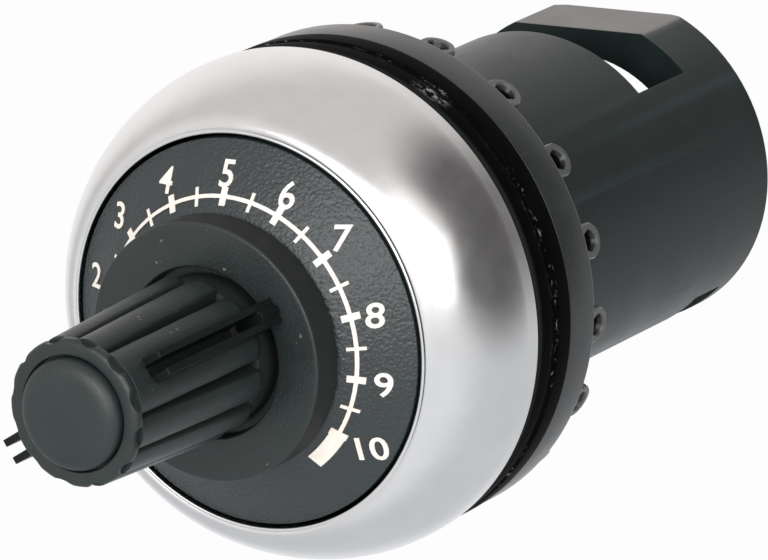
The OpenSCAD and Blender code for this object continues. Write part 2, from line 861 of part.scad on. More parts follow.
module knob_cap() {
    plug_r = collet_nut_d / 2;
    back = knob_front + cap_recess;
    steps = 6;
    color([0.18, 0.20, 0.20])
        turned(concat(
            [[0, back], [plug_r, back], [plug_r, knob_front + cap_groove_h]],
            [[cap_r, knob_front + cap_groove_h], [cap_r, knob_front + 0.1]],
            [for (i = [0:steps])
                curve_point([cap_r - 0.03, knob_front - cap_rise * 0.35],
                            [cap_r - 0.25, knob_front - cap_rise],
                            [0, knob_front - cap_rise], i / steps)]
        ));
}

module collet() {
    grip_back = collet_seat + collet_grip;
    thread_front = collet_seat - collet_nut_t;
    color([0.76, 0.63, 0.36])
        difference() {
            turned([
                [shaft_r + 0.01, grip_back],
                [collet_d / 2 - 0.2, grip_back],
                [collet_d / 2, grip_back - 0.2],
                [collet_d / 2, collet_seat + 0.3],
                [collet_thread_d / 2, collet_seat],
                [collet_thread_d / 2, thread_front],
                [shaft_r + 0.01, thread_front],
            ]);
            // crossed slits that let the collet close on the shaft
            block([-collet_slit / 2, collet_seat + 2, -collet_d],
                  [collet_slit / 2, grip_back + 1, collet_d]);
            block([-collet_d, collet_seat + 2, -collet_slit / 2],
                  [collet_d, grip_back + 1, collet_slit / 2]);
        }
}

module collet_nut() {
    front = collet_seat - collet_nut_t;
    color([0.74, 0.61, 0.34])
        difference() {
            turned([
                [collet_thread_d / 2 + 0.01, front],
                [collet_nut_d / 2 - 0.2, front],
                [collet_nut_d / 2, front + 0.2],
                [collet_nut_d / 2, collet_seat],
                [collet_thread_d / 2 + 0.01, collet_seat],
            ]);
            // driver slot
            block([-collet_nut_d, front - 1, -0.4], [collet_nut_d, front + 0.6, 0.4]);
        }
}

module shaft() {
    front = collet_seat - 0.4;
    clip_back = bush_front - 0.1;
    color([0.66, 0.67, 0.69])
        turned([
            [0, front],
            [shaft_r - 0.4, front],
            [shaft_r, front + 0.4],
            [shaft_r, clip_back - 0.65],
            [shaft_r - 0.5, clip_back - 0.65],
            [shaft_r - 0.5, clip_back],
            [shaft_r, clip_back],
            [shaft_r, carrier_back + 0.3],
            [shaft_r - 0.2, carrier_back + 0.5],
            [0, carrier_back + 0.5],
        ]);
}

module shaft_clip() {
    clip_back = bush_front - 0.1;
    color([0.60, 0.61, 0.62])
        rotate([0, pointer_clock, 0])
            difference() {
                bar(shaft_r + 1.2, clip_back - 0.6, clip_back - 0.05);
                bar(shaft_r - 0.49, clip_back - 2, clip_back + 1);
                block([-shaft_r + 0.6, clip_back - 2, 0],
                      [shaft_r - 0.6, clip_back + 1, shaft_r + 2]);
            }
}

module wiper_carrier() {
    hub_front = case_front + case_wall + 0.9;
    color([0.85, 0.84, 0.78])
        rotate([0, pointer_clock, 0]) {
            turned([
                [shaft_r + 0.01, hub_front],
                [shaft_r + 1.4, hub_front],
                [shaft_r + 1.4, carrier_front],
                [carrier_d / 2, carrier_front],
                [carrier_d / 2, carrier_back],
                [shaft_r + 0.01, carrier_back],
            ]);
            // lug that meets the end stop
            turned_arc([
                [5.4, case_front + case_wall + 0.5],
                [carrier_d / 2, case_front + case_wall + 0.5],
                [carrier_d / 2, carrier_front + eps],
                [5.4, carrier_front + eps],
            ], -stop_half_angle, stop_half_angle);
        }
}

// Sprung finger at a radius, drawn at the top and bent down to its tip
module finger(r) {
    translate([0, 0, r - 0.4])
        linear_extrude(height = 0.8)
            polygon([
                [-1.9, carrier_back],
                [-0.9, carrier_back],
                [0.25, wiper_tip - 0.25],
                [0.6, wiper_tip - 0.6],
                [0.8, wiper_tip - 0.45],
                [0.3, wiper_tip],
                [-0.1, wiper_tip],
                [-1.1, carrier_back + 0.2],
                [-1.9, carrier_back + 0.2],
            ]);
}

module wiper() {
    color([0.82, 0.66, 0.36])
        rotate([0, pointer_clock + 180, 0]) {
            finger(track_r);
            finger(collector_r);
            block([-1.9, carrier_back, collector_r - 0.4], [-1.1, carrier_back + 0.2, track_r + 0.4]);
        }
}

front_housing();
bezel_ring();
scale_plate();
scale_marks();
panel_gasket();
rear_housing();
mounting_plate();
pot_bush();
bush_washer();
bush_nut();
pot_case();
track_plate();
resistive_track();
collector_ring();
terminal(terminal_x[0]);  // terminal_1
terminal(terminal_x[1]);  // terminal_2
terminal(terminal_x[2]);  // terminal_3
terminal_rivets();
shaft_seal();
knob();
knob_cap();
collet();
collet_nut();
shaft();
shaft_clip();
wiper_carrier();
wiper();
ring_nut();
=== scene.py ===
"""Looks of a panel potentiometer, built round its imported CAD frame.

The shaft axis is Y with the knob towards -Y, scale value 5 stands at +Z and the panel seat is at the
origin. Clock angles are counted from +Z, clockwise as seen from the front. Sizes are in millimetres
and are turned into metres where a mesh is made.
"""

import logging
import math
from dataclasses import dataclass, field, replace
from enum import Enum
from typing import Optional, Sequence, Union

import bmesh
import bpy
from mathutils import Matrix, Vector

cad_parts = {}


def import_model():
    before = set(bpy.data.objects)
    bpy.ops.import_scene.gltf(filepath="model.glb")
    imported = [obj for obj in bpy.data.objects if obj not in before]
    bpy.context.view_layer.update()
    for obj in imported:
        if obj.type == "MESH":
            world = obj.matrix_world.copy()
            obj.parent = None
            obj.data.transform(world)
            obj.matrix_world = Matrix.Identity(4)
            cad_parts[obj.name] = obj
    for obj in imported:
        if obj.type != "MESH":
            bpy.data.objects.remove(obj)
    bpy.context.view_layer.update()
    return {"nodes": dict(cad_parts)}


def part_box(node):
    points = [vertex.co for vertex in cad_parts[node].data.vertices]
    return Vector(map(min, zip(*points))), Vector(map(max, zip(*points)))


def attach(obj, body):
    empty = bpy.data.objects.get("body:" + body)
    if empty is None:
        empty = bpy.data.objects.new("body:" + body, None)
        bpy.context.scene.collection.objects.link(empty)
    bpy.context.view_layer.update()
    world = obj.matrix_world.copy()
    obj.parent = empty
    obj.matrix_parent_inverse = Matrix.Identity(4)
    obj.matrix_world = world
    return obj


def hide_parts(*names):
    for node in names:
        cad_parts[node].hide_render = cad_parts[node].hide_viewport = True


MM = 0.001
Point = tuple[float, float]
Colour = tuple[float, float, float]
Nodes = dict[str, bpy.types.Object]
WHITE = (1.0, 1.0, 1.0)
# distance in metres at which corners are merged, and the angle that stays sharp on a bevelled piece
WELD = 1e-7
SHARP_UNDER_BEVEL = 50.0
# inputs and output of the Mix node when it mixes colours
MIX_SHARE, MIX_A, MIX_B, MIX_RESULT = 0, 6, 7, 2
log = logging.getLogger("potentiometer")


# Shader building


class Socket:
    """A shader value that takes part in Python arithmetic."""

    def __init__(self, tree: "Tree", link: bpy.types.NodeSocket) -> None:
        """Wraps an output socket of a tree."""
        self.tree = tree
        self.link = link

    def math(self, operation: str, other: Union["Socket", float, None] = None, swap: bool = False) -> "Socket":
        """Adds a Math node.

        Args:
            operation: the node's operation.
            other: the second operand, where the operation has one.
            swap: whether the second operand comes first.

        Returns:
            The result.
        """
        operands = [self] if other is None else [self, other]
        if swap:
            operands.reverse()
        return self.tree.node("ShaderNodeMath", {"operation": operation}, dict(enumerate(operands)))

    def __add__(self, other: Union["Socket", float]) -> "Socket":
        """Sum."""
        return self.math("ADD", other)

    __radd__ = __add__

    def __mul__(self, other: Union["Socket", float]) -> "Socket":
        """Product."""
        return self.math("MULTIPLY", other)

    __rmul__ = __mul__

    def __sub__(self, other: Union["Socket", float]) -> "Socket":
        """Difference."""
        return self.math("SUBTRACT", other)

    def __rsub__(self, other: float) -> "Socket":
        """Reflected difference."""
        return self.math("SUBTRACT", other, swap=True)

    def __truediv__(self, other: Union["Socket", float]) -> "Socket":
        """Quotient."""
        return self.math("DIVIDE", other)

    def __pow__(self, other: float) -> "Socket":
        """Power."""
        return self.math("POWER", other)

    def __abs__(self) -> "Socket":
        """Size without the sign."""
        return self.math("ABSOLUTE")

    def most(self, other: "Socket") -> "Socket":
        """The larger of two values."""
        return self.math("MAXIMUM", other)

    def smooth(self, low: float, high: float) -> "Socket":
        """Smooth step from 0 at low to 1 at high."""
        settings = {"interpolation_type": "SMOOTHSTEP"}
        return self.tree.node("ShaderNodeMapRange", settings, {"Value": self, "From Min": low, "From Max": high})

    def sibling(self, name: str) -> "Socket":
        """Another output of the same node."""
        return Socket(self.tree, self.link.node.outputs[name])


class Tree:
    """A node tree that is filled through one method."""

    def __init__(self, owner: Union[bpy.types.Material, bpy.types.World]) -> None:
        """Empties the tree of a material or a world.

        Args:
            owner: the material or world.
        """
        owner.use_nodes = True
        self.owner = owner
        self.tree = owner.node_tree
        self.tree.nodes.clear()

    def node(
        self,
        kind: str,
        settings: Optional[dict] = None,
        inputs: Optional[dict] = None,
        out: Union[int, str] = 0,
    ) -> Socket:
        """Adds any node.

        Args:
            kind: the node's type.
            settings: the node's own settings, set first.
            inputs: values or sockets by input name or number.
            out: the output that is wanted.

        Returns:
            That output. A node without outputs gives its first input.
        """
        made = self.tree.nodes.new(kind)
        for key, value in (settings or {}).items():
            setattr(made, key, value)
        for key, value in (inputs or {}).items():
            self.feed(made.inputs[key], value)
        return Socket(self, made.outputs[out] if made.outputs else made.inputs[0])

    def feed(self, target: bpy.types.NodeSocket, value: Union[Socket, float, tuple]) -> None:
        """Gives an input a value or a link.

        Args:
            target: the input.
            value: the value, or the socket to link.
        """
        if isinstance(value, Socket):
            self.tree.links.new(value.link, target)
        else:
            target.default_value = value

    def vector(self, operation: str, *values: Union[Socket, tuple], out: Union[int, str] = 0) -> Socket:
        """Adds a Vector Math node.

        Args:
            operation: the node's operation.
            values: its operands.
            out: the output that is wanted.

        Returns:
            The result.
        """
        return self.node("ShaderNodeVectorMath", {"operation": operation}, dict(enumerate(values)), out)

    def blend(self, share: Union[Socket, float], a: Union[Socket, Colour], b: Union[Socket, Colour]) -> Socket:
        """Mixes two colours.

        Args:
            share: share of the second colour.
            a: the first colour.
            b: the second colour.

        Returns:
            The mixed colour.
        """
        a, b = (c if isinstance(c, Socket) else (*c, 1.0) for c in (a, b))
        inputs = {MIX_SHARE: share, MIX_A: a, MIX_B: b}
        return self.node("ShaderNodeMix", {"data_type": "RGBA"}, inputs, MIX_RESULT)

    def noise(self, at: Socket, scale: float, detail: float = 3.0, roughness: float = 0.55) -> Socket:
        """Adds noise between 0 and 1.

        Args:
            at: where it is sampled, in millimetres.
            scale: features per millimetre.
            detail: octaves.
            roughness: weight of the finer octaves.

        Returns:
            The noise value.
        """
        inputs = {"Vector": at, "Scale": scale, "Detail": detail, "Roughness": roughness}
        return self.node("ShaderNodeTexNoise", {}, inputs)

    def rays(self) -> dict["Ray", Socket]:
        """The kinds of ray that see the plain backdrop, each 1 or 0."""
        path = self.node("ShaderNodeLightPath")
        return {ray: path.sibling(ray.value) for ray in Ray}


class Ray(Enum):
    """The kinds of ray that see the plain backdrop."""

    CAMERA = "Is Camera Ray"
    GLOSSY = "Is Glossy Ray"
    TRANSMISSION = "Is Transmission Ray"


@dataclass
class Spot:
    """Where a shaded point lies, in millimetres and in radians round the clock."""

    place: Socket
    x: Socket
    y: Socket
    z: Socket
    radius: Socket
    clock: Socket


@dataclass
class Look:
    """Colour, roughness and relief of a surface as its finish builds them up."""

    tone: Socket
    rough: Socket
    relief: Socket


class Material(Tree):
    """A surface material with one Principled shader."""

    def __init__(self, name: str) -> None:
        """Makes the material and links its shader to the output.

        Args:
            name: the material's name.
        """
        super().__init__(bpy.data.materials.new(name))
        self.surface = self.node("ShaderNodeBsdfPrincipled")
        self.output = self.node("ShaderNodeOutputMaterial", {}, {"Surface": self.surface})

    def put(self, **values: Union[Socket, float, tuple]) -> None:
        """Sets the shader's inputs, with an underscore for a space in a name."""
        for key, value in values.items():
            self.feed(self.surface.link.node.inputs[key.replace("_", " ")], value)

    def spot(self) -> Spot:
        """Splits the position on the piece, in the row frame.

        Returns:
            The position, its parts, and the radius and clock angle about the shaft.
        """
        place = self.vector("SCALE", self.node("ShaderNodeTexCoord", out="Object"))
        place.link.node.inputs["Scale"].default_value = 1 / MM
        x = self.node("ShaderNodeSeparateXYZ", {}, {0: place})
        y, z = x.sibling("Y"), x.sibling("Z")
        return Spot(place, x, y, z, (x * x + z * z) ** 0.5, x.math("ARCTAN2", z))


def shaded(colour: Sequence[float], by: float) -> Colour:
    """A colour made lighter or darker by a factor."""
    return tuple(min(1.0, c * by) for c in colour)


@dataclass(frozen=True)
class Finish:
    """A surface finish: its base look and the fine texture that varies it."""

    slot: str
    colour: Colour
    roughness: float
    metallic: float = 0.0
    ior: float = 1.5
    mottle: float = 0.10
    mottle_scale: float = 0.5
    grain: float = 0.010
    grain_scale: float = 9.0
    flecks: float = 0.15
    fleck_shade: float = 2.2
    lines: float = 0.0
    line_pitch: float = 0.10
    line_slant: float = 1.7
    uneven_patches: float = 0.16
    uneven_speckle: float = 0.10
    variant: str = ""

    def marks(self, m: Material, spot: Spot, look: Look) -> Look:
        """Marks of its own that a finish adds; the plain finish has none."""
        return look

    def build(self) -> bpy.types.Material:
        """Builds the material.

        Returns:
            The material.
        """
        m = Material(self.slot + self.variant)
        spot = m.spot()
        patches = m.noise(spot.place, self.mottle_scale, 4.0)
        speckle = m.noise(spot.place, self.grain_scale, 2.0, 0.7)
        darker, lighter = shaded(self.colour, 1 - self.mottle), shaded(self.colour, 1 + self.mottle)
        tone = m.blend(patches.smooth(0.3, 0.7), darker, lighter)
        if self.flecks > 0:
            tone = m.blend(speckle.smooth(0.50, 0.76) * self.flecks, tone, shaded(self.colour, self.fleck_shade))
        uneven = (patches - 0.5) * self.uneven_patches + (speckle - 0.5) * self.uneven_speckle
        look = Look(tone, uneven + self.roughness, speckle)
        if self.lines > 0:
            across = (spot.radius + spot.y * self.line_slant) / self.line_pitch
            settings = {"noise_dimensions": "1D"}
            rings = m.node("ShaderNodeTexNoise", settings, {"W": across, "Scale": 1.0, "Detail": 3.0})
            look.rough = look.rough + (rings - 0.5) * self.lines
            look.relief = speckle * 0.3 + rings
        look = self.marks(m, spot, look)
        normal = m.node("ShaderNodeBump", {}, {"Height": look.relief, "Strength": 1.0, "Distance": self.grain * MM})
        m.put(Metallic=self.metallic, IOR=self.ior)
        m.put(Base_Color=look.tone, Roughness=look.rough, Normal=normal)
        return m.owner


@dataclass(frozen=True)
class TurnedMetal(Finish):
    """Satin metal whose turning lines run round the shaft, greyed in soft clouds."""

    cloud_share: float = 0.12
    cloud_shade: float = 0.72

    def marks(self, m: Material, spot: Spot, look: Look) -> Look:
        """Greys the metal a little in soft clouds."""
        clouds = m.noise(spot.place, 0.16, 3.0).smooth(0.35, 0.75) * self.cloud_share
        return Look(m.blend(clouds, look.tone, shaded(self.colour, self.cloud_shade)), look.rough, look.relief)


@dataclass(frozen=True)
class GrainedPlastic(Finish):
    """Spark-grained plastic: a pebbled relief that sparkles where light falls along it."""

    pebble_scale: float = 4.5
    pebble_share: float = 0.25
    pebble_shade: float = 0.6
    dust: float = 0.0
    dust_colour: Colour = (0.34, 0.33, 0.30)

    def marks(self, m: Material, spot: Spot, look: Look) -> Look:
        """Adds the pebbles and a few light grains of dust.

        Args:
            m: the material.
            spot: where the point lies.
            look: the look so far.

        Returns:
            The look with its pebbles.
        """
        settings, inputs = {"feature": "SMOOTH_F1"}, {"Vector": spot.place, "Scale": self.pebble_scale}
        pebbles = m.node("ShaderNodeTexVoronoi", settings, inputs)
        gaps = pebbles.smooth(0.05, 0.55) * self.pebble_share
        tone = m.blend(gaps, look.tone, shaded(self.colour, self.pebble_shade))
        if self.dust > 0:
            grains = m.noise(spot.place, 3.1, 1.0).smooth(0.70, 0.78)
            places = m.noise(spot.place, 0.7, 2.0).smooth(0.5, 0.66)
            tone = m.blend(grains * places * self.dust, tone, self.dust_colour)
        return Look(tone, look.rough, look.relief * 0.6 + (1 - pebbles))


@dataclass(frozen=True)
class KnobPlastic(GrainedPlastic):
    """The knob's grained plastic, with painted shade in its grooves and on the skirt's wall."""

    wall_r: float = 7.46
    wall_from: float = 0.0
    barrel_from: float = 99.0
    crest_r: float = 4.3
    taper: float = 0.03
    shallow: float = 0.12
    deep: float = 0.45
    # share and colour of the painted shade in the grooves and on the skirt's wall
    dark_share: float = 0.9
    dark_colour: Colour = (0.0010, 0.0032, 0.0028)
    dulled: float = 0.3

    def marks(self, m: Material, spot: Spot, look: Look) -> Look:
        """Paints shade into the grooves and onto the skirt's wall.

        Args:
            m: the material.
            spot: where the point lies.
            look: the look so far.

        Returns:
            The look with its painted shade.
        """
        look = super().marks(m, spot, look)
        crest = (spot.y - self.barrel_from) * self.taper + self.crest_r
        on_barrel = spot.y.smooth(self.barrel_from, self.barrel_from + 0.2)
        on_wall = spot.y.smooth(self.wall_from, self.wall_from + 0.1)
        # painted shade: the deeper a point lies below the petals' crest, the darker, as the grooves' shade
        groove_shade = (crest - spot.radius).smooth(self.shallow, self.deep) * on_barrel
        # painted shade on the skirt's side wall, joined with that of the grooves
        painted_shade = (spot.radius.smooth(self.wall_r - 0.03, self.wall_r) * on_wall).most(groove_shade)
        tone = m.blend(painted_shade * self.dark_share, look.tone, self.dark_colour)
        return Look(tone, look.rough + painted_shade * self.dulled, look.relief)


@dataclass(frozen=True)
class BandedRubber(Finish):
    """Black rubber with a broken row of pale flecks along the middle of its band and a painted sheen near its top."""

    middle: float = -1.75
    waver: float = 0.8
    rim_r: float = 14.55
    # place and share of the painted sheen near the top
    rubbed_clock: float = 0.55
    rubbed_y: float = -2.3
    rubbed_share: float = 0.6
    lip_front: float = -3.4
    lip_back: float = -3.0
    lip_colour: Colour = (0.016, 0.019, 0.017)
    fleck_share: float = 0.8
    fleck_colour: Colour = (0.50, 0.51, 0.50)

    def marks(self, m: Material, spot: Spot, look: Look) -> Look:
        """Adds the flecks and one painted sheen near the top.

        Args:
            m: the material.
            spot: where the point lies.
            look: the look so far.

        Returns:
            The look with its flecks and painted sheen.
        """
        off_line = spot.y - self.middle + (m.noise(spot.place, 0.35, 1.0) - 0.5) * self.waver
        streaks = m.noise(m.vector("MULTIPLY", spot.place, (1.0, 2.6, 1.0)), 1.9, 2.0, 0.8).smooth(0.57, 0.70)
        streaks = streaks * m.noise(spot.place, 0.45, 1.0).smooth(0.38, 0.56)
        # painted sheen: a broken pale patch near the top, in the flecks' colour
        painted_sheen = abs(spot.clock - self.rubbed_clock).smooth(0.10, 0.02) * abs(spot.y - self.rubbed_y).smooth(0.9, 0.3)
        sheen_scraps = m.noise(spot.place, 2.4, 3.0).smooth(0.45, 0.62) * self.rubbed_share
        share = abs(off_line).smooth(0.40, 0.08) * streaks + painted_sheen * sheen_scraps
        rim = (spot.radius - self.rim_r).smooth(0.0, 0.12)
        lip = spot.y.smooth(self.lip_back, self.lip_front)
        tone = m.blend(lip, look.tone, self.lip_colour)
        return Look(m.blend(share * rim * self.fleck_share, tone, self.fleck_colour), look.rough, look.relief)


@dataclass(frozen=True)
class WornPlastic(Finish):
    """Moulded plastic with faint scuffs along the axis, pale edges that are partly wear and partly painted highlight,
    and a painted reflection on its flat.
    """

    # paleness of the bent edges: partly wear, partly painted highlight
    rub: float = 0.35
    rub_shade: float = 3.2
    scuff_share: float = 0.10
    scuff_rough: float = 0.06
    # where the flat lies and how much painted reflection it gets
    flat_z: float = 99.0
    flat_from: float = 25.9
    flat_share: float = 0.8
    flat_colour: Colour = (0.17, 0.16, 0.155)

    def marks(self, m: Material, spot: Spot, look: Look) -> Look:
        """Adds the scuffs, the pale edges (partly wear, partly painted highlight) and the painted reflection on the
        flat.

        Args:
            m: the material.
            spot: where the point lies.
            look: the look so far.

        Returns:
            The look with its wear and painted light.
        """
        scuffs = m.noise(m.vector("MULTIPLY", spot.place, (2.2, 0.35, 2.2)), 1.4, 3.0, 0.6).smooth(0.56, 0.72)
        # pale edges where the surface bends: partly wear, partly painted highlight
        bend = m.node("ShaderNodeNewGeometry", out="Pointiness").smooth(0.52, 0.60)
        tone = m.blend(bend * self.rub + scuffs * self.scuff_share, look.tone, shaded(self.colour, self.rub_shade))
        # painted reflection: the flat is paler, standing in for its reflection of the bright surroundings
        flat = abs(spot.z - self.flat_z).smooth(0.10, 0.04) * spot.y.smooth(self.flat_from, self.flat_from + 0.1)
        tone = m.blend(flat * self.flat_share, tone, self.flat_colour)
        return Look(tone, look.rough + scuffs * self.scuff_rough, look.relief)


@dataclass(frozen=True)
class LuggedPlastic(WornPlastic):
    """The nut's plastic, with a painted highlight on the lugs' tops and painted shade inside their eyes."""

    lug_top: float = 14.3
    lug_from: float = 2.85
    # share and colour of the painted highlight on the lugs' tops and of the painted shade in their eyes
    rim_share: float = 0.8
    rim_colour: Colour = (0.085, 0.09, 0.085)
    eye_share: float = 0.9
    eye_colour: Colour = (0.002, 0.002, 0.002)

    def marks(self, m: Material, spot: Spot, look: Look) -> Look:
        """Adds the painted highlight on the lugs' rims and the painted shade in their eyes.

        Args:
            m: the material.
            spot: where the point lies.
            look: the look so far.

        Returns:
            The look with its marked lugs.
        """
        look = super().marks(m, spot, look)
        on_lug = spot.y.smooth(self.lug_from, self.lug_from + 0.1)
        top = spot.radius.smooth(self.lug_top - 0.16, self.lug_top - 0.06)
        # painted highlight on the lugs' tops
        tone = m.blend(top * on_lug * self.rim_share, look.tone, self.rim_colour)
        # painted shade on the lugs below their tops, where the eyes lie
        return Look(m.blend((1 - top) * on_lug * self.eye_share, tone, self.eye_colour), look.rough, look.relief)


# Finishes

# flat_z puts the painted reflection on the housing's flat
HOUSING = WornPlastic("housing_plastic", (0.010, 0.016, 0.016), 0.36, ior=1.33, mottle_scale=0.35, flat_z=8.95)
FRONT_METAL = TurnedMetal(
    "front_ring_metal", (0.80, 0.80, 0.80), 0.22, metallic=1.0, mottle=0.02, flecks=0.0, grain=0.0012, lines=0.08,
    line_pitch=0.06,
)
DIAL = GrainedPlastic("dial_plastic", (0.017, 0.025, 0.027), 0.34, ior=1.6, grain=0.055, flecks=0.25, pebble_scale=5.0)
PRINT = Finish("dial_print", (0.84, 0.79, 0.72), 0.6, mottle=0.05, mottle_scale=1.5, grain=0.004, flecks=0.0)
RUBBER = BandedRubber("gasket_rubber", (0.0022, 0.0020, 0.0024), 0.50, ior=1.06, mottle=0.2, grain=0.004, flecks=0.0)
# the nut's strong pale edges stand in for highlights along its rims: painted highlight
NUT = LuggedPlastic("nut_plastic", (0.018, 0.022, 0.022), 0.28, ior=1.52, rub=0.8, grain=0.004)
KNOB = KnobPlastic("knob_plastic", (0.013, 0.021, 0.020), 0.40, ior=1.53, grain=0.014, pebble_scale=7.0, dust=0.5)
# the wings and their toes are coloured darker than the knob's plastic: painted shade
WINGS_PAINTED_SHADE = GrainedPlastic(
    "knob_plastic", (0.0045, 0.0070, 0.0068), 0.48, ior=1.30, flecks=0.0, pebble_scale=7.0, variant="_wings",
)
CAP = GrainedPlastic("cap_plastic", (0.017, 0.026, 0.025), 0.42, pebble_scale=7.0)
PLATED = Finish("plated_steel", (0.66, 0.67, 0.68), 0.32, metallic=1.0, lines=0.08)
SHAFT = Finish("shaft_steel", (0.66, 0.67, 0.69), 0.25, metallic=1.0, lines=0.12)
BRASS = Finish("brass", (0.74, 0.58, 0.30), 0.28, metallic=1.0, lines=0.08)
CASE = Finish("case_steel", (0.70, 0.69, 0.66), 0.35, metallic=1.0, lines=0.06)
BOARD = Finish("track_board", (0.40, 0.20, 0.08), 0.55, mottle=0.25, mottle_scale=1.5)
FILM = Finish("track_film", (0.015, 0.015, 0.017), 0.45, grain=0.004)
SILVER = Finish("collector_silver", (0.78, 0.78, 0.80), 0.22, metallic=1.0, grain=0.003)
TINNED = Finish("tinned_terminal", (0.70, 0.70, 0.67), 0.36, metallic=1.0, mottle=0.15, grain=0.006)
CARRIER = Finish("carrier_plastic", (0.72, 0.69, 0.60), 0.45)


class Workshop:
    """Makes the materials when they are first wanted and dresses pieces with them."""

    def __init__(self) -> None:
        """Starts with no materials."""
        self.made: dict[Finish, bpy.types.Material] = {}

    def dress(self, piece: bpy.types.Object, finish: Finish) -> None:
        """Gives a piece its material and names its slot.

        Args:
            piece: the piece.
            finish: its finish.
        """
        if finish not in self.made:
            self.made[finish] = finish.build()
        piece.data.materials.clear()
        piece.data.materials.append(self.made[finish])
        log.info("%s in %s", piece.name, finish.slot)


# Mesh building


def linked(name: str, data: bpy.types.ID) -> bpy.types.Object:
    """Puts an object into the scene.

    Args:
        name: its name.
        data: its mesh, text, lamp or camera.

    Returns:
        The object.
    """
    made = bpy.data.objects.new(name, data)
    bpy.context.scene.collection.objects.link(made)
    return made


def about_shaft(r: float, y: float, clock: float) -> Vector:
    """Point at a radius, a station and a clock angle in degrees."""
    angle = math.radians(clock)
    return Vector((r * math.sin(angle), y, r * math.cos(angle)))


def curve(a: Point, corner: Point, b: Point, steps: int) -> list[Point]:
    """Points of a quadratic curve.

    Args:
        a: its start.
        corner: the point that it bends towards.
        b: its end.
        steps: segments.

    Returns:
        The points, both ends included.
    """
    out = []
    for k in range(steps + 1):
        t = k / steps
        out.append(tuple((1 - t) ** 2 * p + 2 * t * (1 - t) * q + t * t * r for p, q, r in zip(a, corner, b)))
    return out


def rounded(points: Sequence[Point], radius: float, steps: int = 3) -> list[Point]:
    """Rounds the corners of a closed outline.

    Args:
        points: the outline.
        radius: how far from each corner the rounding starts.
        steps: segments of each rounded corner.

    Returns:
        The new outline.
    """
    out: list[Point] = []
    for i, corner in enumerate(points):
        c, last, following = Vector(corner), Vector(points[i - 1]), Vector(points[(i + 1) % len(points)])
        if c.x < 1e-6:
            out.append(corner)
            continue
        before, after = last - c, following - c
        a = c + before.normalized() * min(radius, before.length * 0.4)
        b = c + after.normalized() * min(radius, after.length * 0.4)
        out += curve(tuple(a), tuple(c), tuple(b), steps)
    return out


class Shape:
    """A mesh under construction, in millimetres, about the shaft axis."""

    def __init__(self) -> None:
        """Starts empty."""
        self.bm = bmesh.new()

    def skin(self, rings: Sequence[Sequence[Vector]], turn: float = 0.0) -> None:
        """Skins closed rings of equal length, the last of which joins the first.

        Args:
            rings: the rings, in order.
            turn: clock angle that the result is turned to.
        """
        spin = Matrix.Rotation(math.radians(turn), 3, "Y")
        grid = [[self.bm.verts.new(spin @ point) for point in ring] for ring in rings]
        self.bands(grid + grid[:1])

    def bands(self, grid: Sequence[Sequence[bmesh.types.BMVert]]) -> None:
        """Adds a band of faces between each ring of corners and the next.

        Args:
            grid: the rings.
        """
        for a, b in zip(grid, grid[1:]):
            for i in range(len(a)):
                j = (i + 1) % len(a)
                self.bm.faces.new((a[i], a[j], b[j], b[i]))

    def ribbon(self, rings: Sequence[Sequence[Vector]]) -> None:
        """Skins a bar through closed sections and closes both of its ends.

        Args:
            rings: the sections, in order.
        """
        grid = [[self.bm.verts.new(point) for point in ring] for ring in rings]
        self.bands(grid)
        self.bm.faces.new(grid[0])
        self.bm.faces.new(list(reversed(grid[-1])))

    def lathe(self, profile: Sequence[Point], segments: int = 160) -> None:
        """Turns a closed outline of (radius, y) points about the shaft."""
        clocks = [360.0 * k / segments for k in range(segments)]
        self.skin([[about_shaft(r, y, c) for c in clocks] for r, y in profile])

    def prism(self, outline: Sequence[Sequence[float]], along: Sequence[float], turn: float = 0.0) -> None:
        """Extrudes a planar outline.

        Args:
            outline: its points in space.
            along: the extrusion vector.
            turn: clock angle that the prism is turned to.
        """
        spin = Matrix.Rotation(math.radians(turn), 3, "Y")
        low = [self.bm.verts.new(spin @ Vector(p)) for p in outline]
        high = [self.bm.verts.new(spin @ (Vector(p) + Vector(along))) for p in outline]
        self.bm.faces.new(low)
        self.bm.faces.new(list(reversed(high)))
        for i in range(len(low)):
            j = (i + 1) % len(low)
            self.bm.faces.new((low[j], low[i], high[i], high[j]))

    def turned(self, clock: float) -> "Shape":
        """Turns the whole shape to a clock angle and returns it."""
        bmesh.ops.transform(self.bm, matrix=Matrix.Rotation(math.radians(clock), 4, "Y"), verts=self.bm.verts)
        return self

    def finish(
        self,
        name: str,
        body: str,
        replaces: Sequence[str] = (),
        bevel: float = 0.0,
        sharp: float = 32.0,
    ) -> bpy.types.Object:
        """Makes the piece.

        Args:
            name: the piece's name.
            body: the CAD body that it rides on.
            replaces: the CAD nodes that it stands for.
            bevel: width of its rounded edges, or 0.
            sharp: angle in degrees over which an edge is rounded or, without a bevel, stays sharp.

        Returns:
            The piece.
        """
        bmesh.ops.scale(self.bm, vec=(MM, MM, MM), verts=self.bm.verts)
        bmesh.ops.remove_doubles(self.bm, verts=self.bm.verts, dist=WELD)
        bmesh.ops.recalc_face_normals(self.bm, faces=self.bm.faces)
        mesh = bpy.data.meshes.new(name)
        self.bm.to_mesh(mesh)
        self.bm.free()
        mesh.shade_smooth()
        mesh.set_sharp_from_angle(angle=math.radians(SHARP_UNDER_BEVEL if bevel > 0 else sharp))
        piece = linked(name, mesh)
        if bevel > 0:
            edges = piece.modifiers.new("rounded_edges", "BEVEL")
            edges.width, edges.segments = bevel * MM, 2
            edges.limit_method, edges.angle_limit = "ANGLE", math.radians(sharp)
            piece.modifiers.new("even_normals", "WEIGHTED_NORMAL").keep_sharp = True
        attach(piece, body)
        if replaces:
            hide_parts(*replaces)
        return piece


